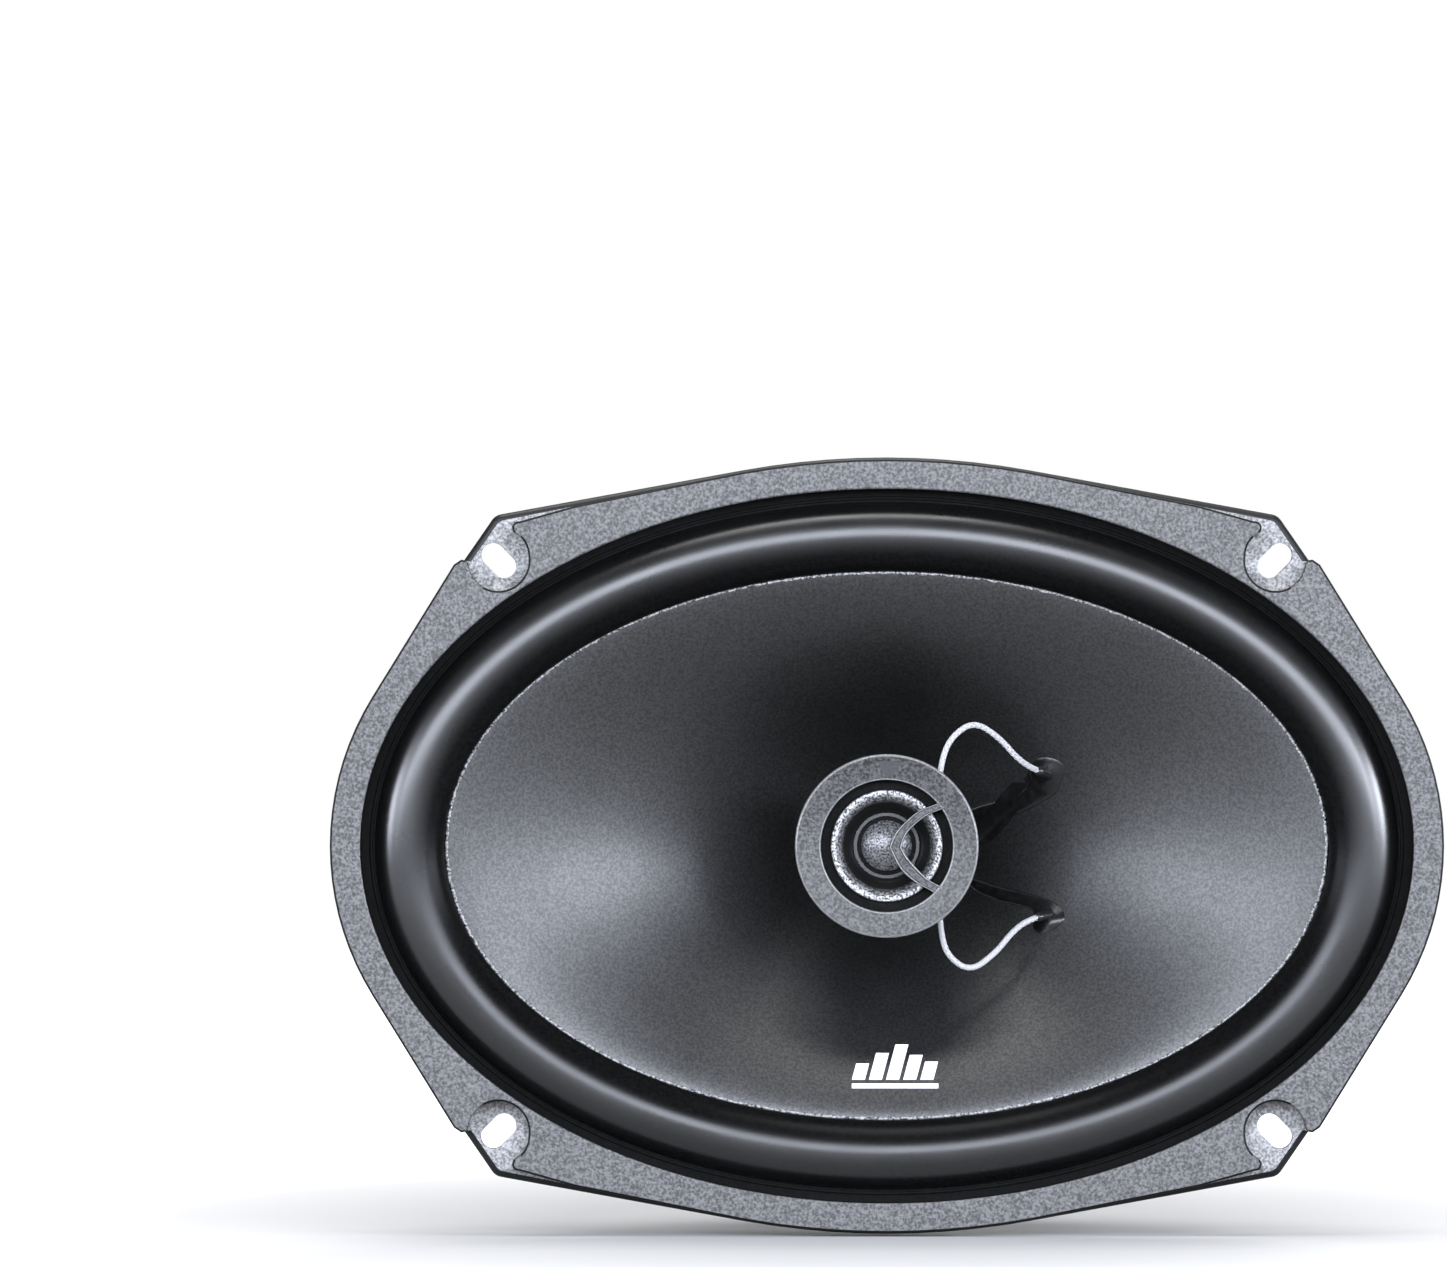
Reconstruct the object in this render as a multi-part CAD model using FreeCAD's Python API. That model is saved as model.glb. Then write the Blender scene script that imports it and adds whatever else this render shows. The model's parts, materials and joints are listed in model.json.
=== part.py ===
import FreeCAD, Part
import math
import os

# A 6 x 9 inch oval coaxial car speaker, in millimetres.
# The origin is the centre of the mounting plane (the rear face of the steel flange).
# The speaker fires along -Y, +Y runs back to the motor, +Z is up and +X is right.

Vector = FreeCAD.Vector

# flange and trim outline, first quadrant (x, z)
top_radius = 173.0          # long sides bow out on this radius
top_slope = 10.3            # degrees, where the bow meets the straight towards the ear
flange_half_height = 83.1
flange_side = 118.2         # half length of the steel flange
trim_half_height = 82.6
trim_side = 119.0           # half length of the trim ring, the widest part
side_centre = 58.5          # centre of the arc at each end of the oval
side_slope = 31.7           # degrees, where that arc meets the straight towards the ear
ear_corner = (83.75, 70.7)
ear_foot = (91.5, 59.5)
trim_ear_corner = (82.9, 69.4)
trim_shoulder = [(88.9, 60.75), (90.9, 61.2), (92.5, 60.1)]
corner_round = 3.0
trim_rounds = [2.5, 0.4, 0.5, 0.6]
flange_round = 1.4          # rounding of the flange's front edge

# depths along y
flange_front = -2.0
trim_front = -8.0
pocket_floor = -4.0
cone_edge_y = -2.0
cone_neck_y = 32.0
shelf_y = 36.0
seat_y = 52.0               # rear face of the basket's bottom, where the motor sits
top_plate_thick = 5.5
magnet_thick = 16.0
back_plate_thick = 6.0

# mounting slots
slot_x = 83.0
slot_z = 61.0
slot_width = 5.1
slot_length = 8.5
pocket_radius = 6.5
pocket_begin = (64.0, 73.4)         # where the pocket's wall leaves the long side
pocket_nose = [(78.5, 69.35), (80.0, 68.35), (79.5, 66.85)]
pocket_hollow = (77.5, 65.0)
pocket_outside = [(90.2, 61.6), (100.0, 66.0), (100.0, 90.0), (64.0, 90.0)]
pocket_join_angle = 171.0
pocket_cusp_angle = -10.0

# oval of the woofer: half length, half height
trim_opening = (112.5, 76.3)
basket_opening = (109.3, 73.7)
roll_centre = (101.9, 66.0)
roll_feet = (-7.3, 7.5)     # inner and outer, measured out from the roll's centre line
roll_feet_y = -2.7
roll_crest_y = -7.7
roll_skin = 0.7
flange_land = 9.9           # outer edge of the flat land on the flange
cone_land = -10.0           # inner edge of the flat land behind the cone
cone_land_back = 0.6
cone_edge = (94.0, 58.3)
cone_thick = 0.8
cone_curve = 1.3            # above 1, the cone is steeper towards its neck

# basket
steel = 1.2
spoke_width = 14.0
spoke_angles = [0, 36, 90, 144, 180, 216, 270, 324]
window_front = 11.5
window_back = 32.5
window_corner = 5.0
bowl_wall = [(105.5, 70.0, 7.0), (102.0, 67.0, 10.0), (61.0, 57.0, 34.0), (58.0, 56.0, shelf_y),
             (49.5, 49.5, shelf_y + 0.4), (44.0, 44.0, seat_y - steel)]

# voice coil and motor radii
coil_radius = 15.45         # outside of the former
former_thick = 0.3
winding_thick = 0.75
gap_radius = 16.8
pole_radius = 14.75
plate_radius = 42.0
magnet_radius = 45.0
magnet_bore = 22.5
rivet_circle = 32.0         # radius on which the four motor rivets sit
rivet_radius = 2.5
rivet_head = 4.0
winding_half = 6.0          # half length of the winding
former_back = 66.0
bore_radius = 4.7
post_radius = 4.5

# spider
spider_flats = (18.0, 47.0, 55.0)   # the waves run between the first two radii
spider_thick = 0.6
spider_waves = 5

# terminal board, blades and their rivets
board_half_width = 8.0
board_half_height = 17.0
board_thick = 1.6
board_corner = 2.0
board_share = 0.45          # how far down the spoke the board's centre is
board_rivet_z = 4.2
blade_z = 11.6
blade_thick = 0.8
blade_height = 9.0
wide_blade = 6.3
narrow_blade = 4.8

# tweeter post and its screw
collar_radius = 7.5
collar_length = 4.0
screw_radius = 1.7
screw_depth = 13.5

# tweeter
bezel_radius = 19.65
bezel_bore = 14.1
bezel_front = -6.5
pod_back = 19.0
dome_radius = 5.6

# leads
braid = 1.3
eyelet_radius = 1.15

magnet_front = seat_y + top_plate_thick
back_plate_front = magnet_front + magnet_thick
motor_back = back_plate_front + back_plate_thick

# routes of the limp braided leads, from the fixed end to the cone
front_lead_upper = [(11.4, 2.0, 14.6), (11.9, 2.6, 18.6), (14.0, 4.2, 23.3), (18.8, 6.6, 26.6),
                    (24.2, 8.8, 23.2), (28.2, 11.2, 18.6), (31.4, 14.0, 16.4), (33.5, 16.2, 15.6)]
front_lead_lower = [(11.4, 2.0, -14.6), (11.7, 2.8, -19.0), (13.2, 4.4, -23.8), (18.0, 6.8, -27.2),
                    (23.4, 9.2, -23.4), (27.6, 11.4, -18.2), (31.2, 14.0, -16.0), (33.4, 16.2, -15.5)]
rear_lead_positive = [(82.7, 20.5, 11.6), (81.0, 17.6, 11.6), (76.8, 15.4, 11.8), (71.6, 17.2, 12.4),
                      (66.2, 21.6, 13.2), (60.2, 25.8, 14.0), (54.2, 27.8, 14.5), (48.4, 28.4, 14.2),
                      (43.9, 26.9, 13.2), (41.2, 24.6, 13.3), (39.15, 22.45, 13.55)]
rear_lead_negative = [(82.7, 20.5, -11.6), (81.0, 17.6, -11.6), (76.6, 15.8, -12.2), (71.2, 18.2, -13.2),
                      (65.4, 22.6, -13.8), (59.4, 26.2, -14.0), (53.6, 27.6, -14.2), (48.2, 27.9, -14.4),
                      (44.2, 26.6, -14.3), (41.5, 24.3, -13.9), (39.35, 22.15, -14.2)]


def at(x, z, y=0.0):
    return Vector(x, y, z)


def line(a, b):
    return Part.LineSegment(a, b).toShape()


def arc(a, middle, b):
    return Part.Arc(a, middle, b).toShape()


def oval(half_x, half_z, y):
    if abs(half_x - half_z) < 1e-6:
        curve = Part.Circle(at(0, 0, y), Vector(0, -1, 0), half_x)
        return Part.Wire([curve.toShape()])
    curve = Part.Ellipse(at(half_x, 0, y), at(0, half_z, y), at(0, 0, y))
    return Part.Wire([curve.toShape()])


def oval_disc(half_x, half_z, front, back):
    face = Part.Face(oval(half_x, half_z, front))
    return face.extrude(Vector(0, back - front, 0))


def disc(radius, front, back, x=0.0, z=0.0):
    return Part.makeCylinder(radius, back - front, at(x, z, front), Vector(0, 1, 0))


def ring(outer, inner, front, back):
    return disc(outer, front, back).cut(disc(inner, front - 1, back + 1))


def turned(points):
    """A solid of revolution about the y axis; points are (radius, y)."""
    corners = [Vector(r, y, 0) for r, y in points]
    face = Part.Face(Part.makePolygon(corners + corners[:1]))
    return face.revolve(Vector(0, 0, 0), Vector(0, 1, 0), 360)


def stack(sections):
    """A solid through ovals; sections are (half length, half height, y)."""
    return Part.makeLoft([oval(a, b, y) for a, b, y in sections], True, True)


def mirrored(edges_of_quadrant):
    """A closed wire from the edges of its first quadrant, which run from the z axis to the x axis."""
    quadrant = Part.Wire(edges_of_quadrant)
    right = quadrant.mirror(Vector(0, 0, 0), Vector(0, 0, 1))
    half = [quadrant, right]
    left = [w.mirror(Vector(0, 0, 0), Vector(1, 0, 0)) for w in half]
    edges = [e for w in half + left for e in w.Edges]
    return Part.Wire(Part.__sortEdges__(edges))


def rounded_path(points, radii):
    """Edges through points, with an arc of the given radius at each inner point that has one."""
    edges = []
    start = points[0]
    for i in range(1, len(points) - 1):
        before = (points[i] - points[i - 1]).normalize()
        after = (points[i + 1] - points[i]).normalize()
        radius = radii[i]
        if radius:
            half_turn = before.getAngle(after) / 2
            reach = radius * math.tan(half_turn)
            enter = points[i] - before * reach
            leave = points[i] + after * reach
            inward = (after - before).normalize()
            centre = points[i] + inward * (radius / math.cos(half_turn))
            edges.append(line(start, enter))
            edges.append(arc(enter, centre - inward * radius, leave))
            start = leave
        else:
            edges.append(line(start, points[i]))
            start = points[i]
    edges.append(line(start, points[-1]))
    return edges


def outline(half_height, half_length, corners, radii, y):
    """The oval outline with an ear in each quadrant, as one closed wire."""
    bow = math.radians(top_slope)
    centre_z = half_height - top_radius
    tangent = at(top_radius * math.sin(bow), centre_z + top_radius * math.cos(bow), y)
    halfway = at(top_radius * math.sin(bow / 2), centre_z + top_radius * math.cos(bow / 2), y)
    edges = [arc(at(0, half_height, y), halfway, tangent)]
    side_radius = half_length - side_centre
    side = math.radians(side_slope)
    end = at(side_centre + side_radius * math.cos(side), side_radius * math.sin(side), y)
    middle = at(side_centre + side_radius * math.cos(side / 2), side_radius * math.sin(side / 2), y)
    points = [tangent] + [at(x, z, y) for x, z in corners] + [end]
    edges += rounded_path(points, [0] + radii + [0])
    edges.append(arc(end, middle, at(half_length, 0, y)))
    return mirrored(edges)


def each_ear(shape):
    """The shape for the first quadrant, and its mirror images in the other three."""
    upper = [shape, shape.mirror(Vector(0, 0, 0), Vector(1, 0, 0))]
    return upper + [s.mirror(Vector(0, 0, 0), Vector(0, 0, 1)) for s in upper]


def slot(front, back):
    """The cutter for the mounting slot of the first quadrant, which points at the centre."""
    reach = (slot_length - slot_width) / 2
    step = reach * math.sqrt(0.5)
    r = slot_width / 2
    near = disc(r, front, back, slot_x - step, slot_z - step)
    far = disc(r, front, back, slot_x + step, slot_z + step)
    box = Part.makeBox(2 * reach, back - front, slot_width, Vector(-reach, front, -r))
    box.rotate(Vector(0, 0, 0), Vector(0, 1, 0), -45)
    box.translate(Vector(slot_x, 0, slot_z))
    return near.fuse(far).fuse(box).removeSplitter()


def save(name, shape):
    if not shape.isValid():
        print("not valid:", name)
    shape.exportStep("parts/" + name + ".step")
    box = shape.BoundBox
    print(name, len(shape.Solids), "solids", round(shape.Volume, 1), "mm3, y",
          round(box.YMin, 2), "to", round(box.YMax, 2))


def make_basket():
    wire = outline(flange_half_height, flange_side, [ear_corner, ear_foot], [corner_round, 0],
                   flange_front)
    flange = Part.Face(wire).extrude(Vector(0, -flange_front, 0))
    front_edges = [e for e in flange.Edges if e.BoundBox.YMax < flange_front + 0.01]
    flange = flange.makeFillet(flange_round, front_edges)
    inner = [basket_opening + (flange_front,)] + bowl_wall
    outer = [(a + steel, b + steel, y + steel) for a, b, y in inner[1:]]
    outer = [(inner[0][0] + steel, inner[0][1] + steel, flange_front)] + outer
    shell = stack(outer).cut(stack(inner))
    mouth = oval_disc(basket_opening[0], basket_opening[1], flange_front - 1, flange_front + 0.5)
    basket = flange.cut(stack(inner)).fuse(shell).cut(mouth)
    basket = basket.cut(disc(magnet_bore - 1.5, seat_y - 5, seat_y + 5))
    for i, angle in enumerate(spoke_angles):
        following = spoke_angles[(i + 1) % len(spoke_angles)]
        basket = basket.cut(window(angle, following))
    for cutter in each_ear(slot(flange_front - 1, 1)):
        basket = basket.cut(cutter)
    return basket.removeSplitter()


def window(angle, following):
    """The cutter for one window, between the spokes at two angles, with rounded corners."""
    a = math.radians(angle)
    b = math.radians(following if following > angle else following + 360)
    half = spoke_width / 2
    opening = b - a
    apex_reach = half / math.sin(opening / 2)
    middle = (a + b) / 2
    apex = at(apex_reach * math.cos(middle), apex_reach * math.sin(middle), window_front)
    reach = 150.0
    corners = [apex, apex + at(reach * math.cos(a), reach * math.sin(a)),
               apex + at(reach * math.cos(b), reach * math.sin(b))]
    wedge = Part.Face(Part.makePolygon(corners + corners[:1]))
    wedge = wedge.extrude(Vector(0, window_back - window_front, 0))
    sides = [e for e in wedge.Edges
             if e.BoundBox.YLength < 0.01 and e.Length > 0.99 * reach and apex_side(e, apex)]
    return wedge.makeFillet(window_corner, sides)


def apex_side(edge, apex):
    """True for the edges that run out from the apex."""
    return any(math.hypot(v.X - apex.x, v.Z - apex.z) < 0.01 for v in edge.Vertexes)


def make_trim_ring():
    wire = outline(trim_half_height, trim_side, [trim_ear_corner] + trim_shoulder, trim_rounds,
                   flange_front)
    body = Part.Face(wire).extrude(Vector(0, trim_front - flange_front, 0))
    body = body.cut(oval_disc(trim_opening[0], trim_opening[1], trim_front - 1, 1))
    pocket = pocket_cutter()
    for cutter in each_ear(pocket) + each_ear(slot(trim_front - 1, 1)):
        body = body.cut(cutter)
    return body.removeSplitter()


def on_pocket(angle, y):
    """The point at that angle on the circle round one mounting slot."""
    turn = math.radians(angle)
    return at(slot_x + pocket_radius * math.cos(turn), slot_z + pocket_radius * math.sin(turn), y)


def pocket_cutter():
    """The recess round one mounting slot, open towards the ear's outer edges."""
    y = trim_front - 1
    begin = at(*pocket_begin, y)
    nose_top, nose_tip, nose_under = [at(x, z, y) for x, z in pocket_nose]
    join = on_pocket(pocket_join_angle, y)
    low = on_pocket((pocket_join_angle - 360 + pocket_cusp_angle) / 2, y)
    cusp = on_pocket(pocket_cusp_angle, y)
    edges = [line(begin, nose_top), arc(nose_top, nose_tip, nose_under),
             arc(nose_under, at(*pocket_hollow, y), join), arc(join, low, cusp)]
    outside = [cusp] + [at(x, z, y) for x, z in pocket_outside] + [begin]
    edges += [line(a, b) for a, b in zip(outside, outside[1:])]
    return Part.Face(Part.Wire(edges)).extrude(Vector(0, pocket_floor - y, 0))


def swept_oval(profile_edges, half_x, half_z):
    """Sweeps a closed profile, drawn in the plane z = 0 at the +X end, round an oval."""
    spine = oval(half_x, half_z, 0)
    maker = Part.BRepOffsetAPI.MakePipeShell(spine)
    maker.setBiNormalMode(Vector(0, 1, 0))
    maker.add(Part.Wire(profile_edges), False, False)
    maker.build()
    maker.makeSolid()
    return maker.shape()


def make_surround():
    """The half-roll: a flat land on the flange, one large roll, and a land behind the cone's edge."""
    def spot(u, y):
        return Vector(roll_centre[0] + u, y, 0)
    inner, outer = roll_feet
    crest = [(outer, roll_feet_y), (0, roll_crest_y), (inner, roll_feet_y)]
    under = [(inner + roll_skin, -2.3), (0, roll_crest_y + roll_skin), (outer - roll_skin, flange_front)]
    behind = [(inner, roll_feet_y), (inner, 0.0), (cone_land, 0.0), (cone_land, cone_land_back),
              (inner + roll_skin, cone_land_back), (inner + roll_skin, -2.3)]
    front = [(outer - roll_skin, flange_front), (flange_land, flange_front),
             (flange_land, roll_feet_y), (outer, roll_feet_y)]
    edges = [line(spot(*a), spot(*b)) for a, b in zip(front, front[1:])]
    edges.append(arc(*[spot(*p) for p in crest]))
    edges += [line(spot(*a), spot(*b)) for a, b in zip(behind, behind[1:])]
    edges.append(arc(*[spot(*p) for p in under]))
    return swept_oval(edges, roll_centre[0], roll_centre[1])


def cone_section(share, shift):
    """One oval of the cone's face: share 0 is the neck and 1 the edge."""
    neck = coil_radius + 0.15
    half_x = neck + (cone_edge[0] - neck) * share
    half_z = neck + (cone_edge[1] - neck) * share
    y = cone_edge_y + (cone_neck_y - cone_edge_y) * (1 - share) ** cone_curve
    return (half_x, half_z, y + shift)


def make_cone():
    shares = [0, 0.12, 0.25, 0.4, 0.55, 0.7, 0.82, 0.92, 1.0]
    front = stack([cone_section(s, 0) for s in shares])
    back = stack([cone_section(s, cone_thick) for s in shares])
    rim = oval_disc(cone_edge[0], cone_edge[1], cone_edge_y, cone_edge_y + cone_thick)
    shell = back.fuse(rim).cut(front)
    cone = shell.cut(disc(coil_radius + 0.05, 20, 40))
    for eyelet in make_lead_eyelets().Solids:
        cone = cone.cut(eyelet)
    return cone


def make_spider():
    """The corrugated centring disc, from the former to the basket's shelf."""
    inner = coil_radius + 0.1
    first, last, edge = spider_flats
    wave = (last - first) / spider_waves
    flat_y = shelf_y - spider_thick
    front = [(inner, flat_y), (first, flat_y)]
    for i in range(spider_waves):
        start = first + i * wave
        front += [(start + wave * 0.25, shelf_y - 2.2), (start + wave * 0.75, shelf_y + 0.4)]
    front += [(last, flat_y), (edge, flat_y)]
    back = [(r, y + spider_thick) for r, y in reversed(front)]
    return turned(front + back)


def make_voice_coil_former():
    return ring(coil_radius, coil_radius - former_thick, cone_neck_y - 1.5, former_back)


def make_voice_coil_winding():
    middle = seat_y + top_plate_thick / 2
    return ring(coil_radius + winding_thick, coil_radius, middle - winding_half, middle + winding_half)


def make_top_plate():
    plate = ring(plate_radius, gap_radius, seat_y, magnet_front)
    for rivet in rivet_list():
        plate = plate.cut(rivet)
    return plate


def rivet_list():
    """Four rivets that clinch the basket's bottom to the top plate."""
    rivets = []
    for angle in (45, 135, 225, 315):
        x = rivet_circle * math.cos(math.radians(angle))
        z = rivet_circle * math.sin(math.radians(angle))
        shank = disc(rivet_radius, seat_y - steel - 0.5, magnet_front, x, z)
        head = disc(rivet_head, seat_y - steel - 1.6, seat_y - steel, x, z)
        rivets.append(shank.fuse(head).removeSplitter())
    return rivets


def make_t_yoke():
    """Back plate and pole in one piece, bored for the tweeter's post."""
    plate = turned([(0, back_plate_front), (plate_radius, back_plate_front),
                    (plate_radius, motor_back - 2.0), (plate_radius - 2.0, motor_back),
                    (0, motor_back)])
    pole = turned([(0, seat_y - 1.5), (pole_radius - 0.8, seat_y - 1.5), (pole_radius, seat_y - 0.7),
                   (pole_radius, back_plate_front + 1), (0, back_plate_front + 1)])
    return plate.fuse(pole).cut(disc(bore_radius, 0, 100)).removeSplitter()


def make_magnet():
    bevel = 1.0
    return turned([(magnet_bore, magnet_front), (magnet_radius - bevel, magnet_front),
                   (magnet_radius, magnet_front + bevel), (magnet_radius, back_plate_front - bevel),
                   (magnet_radius - bevel, back_plate_front), (magnet_bore, back_plate_front)])


# the terminal board lies along the outside of the spoke at the right end
slope_from = (bowl_wall[1][0] + steel, bowl_wall[1][2] + steel)
slope_to = (bowl_wall[2][0] + steel, bowl_wall[2][2] + steel)
slope_angle = math.degrees(math.atan2(slope_to[1] - slope_from[1], slope_from[0] - slope_to[0]))


def on_board(shape):
    """Moves a shape drawn flat at the origin, with +Y as outwards, onto the spoke."""
    placed = shape.copy()
    placed.rotate(Vector(0, 0, 0), Vector(0, 0, 1), -slope_angle)
    x = slope_from[0] + (slope_to[0] - slope_from[0]) * board_share
    y = slope_from[1] + (slope_to[1] - slope_from[1]) * board_share
    placed.translate(Vector(x, y, 0))
    return placed


def block(x0, x1, y0, y1, z0, z1):
    return Part.makeBox(x1 - x0, y1 - y0, z1 - z0, Vector(x0, y0, z0))


def board_rivets_flat():
    rivets = []
    for z in (-board_rivet_z, board_rivet_z):
        shank = disc(1.2, -2.6, board_thick + 0.6, 0, z)
        outer = disc(2.1, board_thick, board_thick + 0.7, 0, z)
        inner = disc(2.1, -2.6, -1.9, 0, z)
        rivets.append(shank.fuse(outer).fuse(inner).removeSplitter())
    return rivets


def blade_flat(side, width):
    """One push-on blade: a foot on the board, the upright blade, and a solder tag inside."""
    z = blade_z * side
    half = width / 2
    thick = blade_thick
    foot = block(-4.0, 4.0, board_thick, board_thick + thick, z - half, z + half)
    upright = block(4.0 - thick, 4.0, board_thick, board_thick + blade_height, z - half, z + half)
    stem = disc(1.4, -2.2, board_thick + thick, -1.0, z)
    return upright.makeChamfer(0.7, corner_edges(upright)).fuse(foot).fuse(stem).removeSplitter()


def corner_edges(upright):
    """The two short edges across the tip of a blade."""
    top = upright.BoundBox.YMax
    return [e for e in upright.Edges
            if e.BoundBox.YMin > top - 0.01 and e.BoundBox.ZLength < 0.01]


def make_terminal_board():
    board = block(-board_half_width, board_half_width, 0.1, board_thick,
                  -board_half_height, board_half_height)
    upright_edges = [e for e in board.Edges if e.BoundBox.YLength > 1.0]
    board = board.makeFillet(board_corner, upright_edges)
    for tool in board_rivets_flat() + [blade_flat(1, wide_blade), blade_flat(-1, narrow_blade)]:
        board = board.cut(tool)
    return on_board(board)


def make_post():
    post = disc(post_radius, pod_back, motor_back)
    collar_end = pod_back + collar_length
    collar = turned([(0, pod_back), (collar_radius, pod_back), (post_radius, collar_end),
                     (0, collar_end)])
    thread = disc(screw_radius, motor_back - screw_depth - 0.5, motor_back + 1)
    return post.fuse(collar).cut(thread).removeSplitter()


def make_post_screw():
    shank = disc(screw_radius, motor_back - screw_depth, motor_back + 1.0)
    head = turned([(0, motor_back + 1.0), (4.0, motor_back + 1.0), (4.0, motor_back + 2.2),
                   (2.6, motor_back + 3.4), (0, motor_back + 3.4)])
    screw = shank.fuse(head)
    for angle in (0, 90):
        bar = block(-1.9, 1.9, motor_back + 1.9, motor_back + 4, -0.45, 0.45)
        bar.rotate(Vector(0, 0, 0), Vector(0, 1, 0), angle)
        screw = screw.cut(bar)
    return screw.removeSplitter()


def make_bezel():
    """The round front ring of the tweeter pod, with its angled guard bar."""
    body = turned([(bezel_bore, bezel_front + 0.3), (bezel_bore + 0.3, bezel_front),
                   (bezel_radius - 0.8, bezel_front), (bezel_radius, bezel_front + 0.8),
                   (bezel_radius, -2.6), (18.0, -2.6), (18.0, -3.8), (bezel_bore, -3.8)])
    for leg in guard_legs():
        body = body.fuse(leg)
    return body.removeSplitter()


def guard_legs():
    """Two bowed legs that meet at a point near the middle and spread to the ring."""
    top = bezel_front
    thick = 1.6
    outer_apex = (0.67, -0.25)
    inner_apex = (2.98, -0.3)
    upper = ((4.3, 5.3), (11.1, 9.15), (5.8, 4.6), (12.1, 8.1))
    lower = ((3.6, -5.6), (10.6, -10.2), (5.3, -4.0), (11.9, -9.0))
    legs = []
    for bow_outer, end_outer, bow_inner, end_inner in (upper, lower):
        edges = [line(at(*inner_apex, top), at(*outer_apex, top)),
                 arc(at(*outer_apex, top), at(*bow_outer, top), at(*end_outer, top)),
                 line(at(*end_outer, top), at(*end_inner, top)),
                 arc(at(*end_inner, top), at(*bow_inner, top), at(*inner_apex, top))]
        legs.append(Part.Face(Part.Wire(edges)).extrude(Vector(0, thick, 0)))
    return legs


def make_tweeter_housing():
    outside = turned([(0, -3.8), (17.8, -3.8), (17.2, 8.0), (13.5, pod_back), (0, pod_back)])
    inside = turned([(0, -4.5), (16.4, -4.5), (15.8, 7.6), (12.4, pod_back - 1.6), (0, pod_back - 1.6)])
    return outside.cut(inside)


def make_waveguide():
    """Flat dark annulus, a raised lip and the flare down to the dome."""
    return turned([(14.0, -3.4), (12.0, -3.4), (12.0, -4.3), (11.5, -4.6), (10.6, -4.1), (9.2, -2.6),
                   (8.0, -1.1), (7.1, -0.5), (7.1, 1.0), (12.0, 1.0), (12.0, -2.2), (14.0, -2.2)])


def make_tweeter_dome():
    """The dome and its narrow flat rim; the dome is a round arc taken in short steps."""
    skin = 0.25
    base = -0.3
    rise = 2.4
    steps = 10
    sphere = (dome_radius ** 2 + rise ** 2) / (2 * rise)
    widest = math.asin(dome_radius / sphere)
    front = [(0, base - rise)]
    for i in range(1, steps + 1):
        angle = widest * i / steps
        front.append((sphere * math.sin(angle), base - rise + sphere * (1 - math.cos(angle))))
    front.append((6.2, base))
    back = [(r, y + skin) for r, y in reversed(front)]
    return turned(front + back)


def tube_along(points, diameter, name):
    """A tube along straight runs joined by tangent arcs."""
    spots = [Vector(*p) for p in points]
    runs = [(b - a).Length for a, b in zip(spots, spots[1:])]
    radii = [0]
    for i in range(1, len(spots) - 1):
        turn = (spots[i] - spots[i - 1]).getAngle(spots[i + 1] - spots[i])
        radii.append(0.45 * min(runs[i - 1], runs[i]) / math.tan(turn / 2))
    path = Part.Wire(rounded_path(spots, radii))
    start = Part.Circle(spots[0], spots[1] - spots[0], diameter / 2)
    maker = Part.BRepOffsetAPI.MakePipeShell(path)
    maker.setFrenetMode(False)
    maker.setTransitionMode(0)
    maker.add(Part.Wire([start.toShape()]), False, False)
    maker.build()
    maker.makeSolid()
    tube = maker.shape()
    area = math.pi * diameter ** 2 / 4
    print(name, "length", round(path.Length, 2), "radii", [round(r, 1) for r in radii[1:]],
          "volume ratio", round(tube.Volume / (area * path.Length), 4))
    return tube


eyelet_length = 8.0
eyelet_gap = 0.15           # between a front lead's end and its eyelet


def make_lead_eyelets():
    """Two small sleeves that carry the leads through the cone."""
    sleeves = []
    for points in (front_lead_upper, front_lead_lower):
        end = Vector(*points[-1])
        axis = (end - Vector(*points[-2])).normalize()
        sleeves.append(Part.makeCylinder(eyelet_radius, eyelet_length, end + axis * eyelet_gap, axis))
    return Part.makeCompound(sleeves)


def main():
    os.makedirs("parts", exist_ok=True)
    rivets = rivet_list()
    board_rivets = [on_board(r) for r in board_rivets_flat()]
    basket = make_basket()
    for tool in rivets + board_rivets:
        basket = basket.cut(tool)
    save("basket", basket)
    save("trim_ring", make_trim_ring())
    save("surround", make_surround())
    save("cone", make_cone())
    save("spider", make_spider())
    save("voice_coil_former", make_voice_coil_former())
    save("voice_coil_winding", make_voice_coil_winding())
    save("top_plate", make_top_plate())
    save("magnet", make_magnet())
    save("t_yoke", make_t_yoke())
    save("motor_rivets", Part.makeCompound(rivets))
    save("terminal_board", make_terminal_board())
    save("terminal_positive", on_board(blade_flat(1, wide_blade)))
    save("terminal_negative", on_board(blade_flat(-1, narrow_blade)))
    save("terminal_rivets", Part.makeCompound(board_rivets))
    save("tweeter_post", make_post())
    save("post_washer", ring(5.5, 1.8, motor_back, motor_back + 1.0))
    save("post_screw", make_post_screw())
    save("tweeter_housing", make_tweeter_housing())
    save("tweeter_bezel", make_bezel())
    save("tweeter_waveguide", make_waveguide())
    save("diaphragm_ring", ring(7.0, 6.35, -0.9, -0.3))
    save("tweeter_dome", make_tweeter_dome())
    save("tweeter_coil", ring(5.65, 5.3, 0.0, 3.6))
    save("tweeter_cup", ring(9.0, 6.05, 1.0, 6.4).fuse(disc(9.0, 6.4, 7.8)).removeSplitter())
    save("tweeter_magnet", disc(4.6, 3.4, 6.4))
    save("tweeter_pole_plate", disc(4.95, 1.4, 3.4))
    save("crossover_capacitor", Part.makeCylinder(3.5, 11, Vector(-5.5, 12.6, 0), Vector(1, 0, 0)))
    save("lead_eyelets", make_lead_eyelets())
    save("front_lead_upper", tube_along(front_lead_upper, braid, "front_lead_upper"))
    save("front_lead_lower", tube_along(front_lead_lower, braid, "front_lead_lower"))
    save("rear_lead_positive", tube_along(rear_lead_positive, braid, "rear_lead_positive"))
    save("rear_lead_negative", tube_along(rear_lead_negative, braid, "rear_lead_negative"))


main()
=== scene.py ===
import json
import math

import bmesh
import bpy
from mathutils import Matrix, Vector, noise

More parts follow.
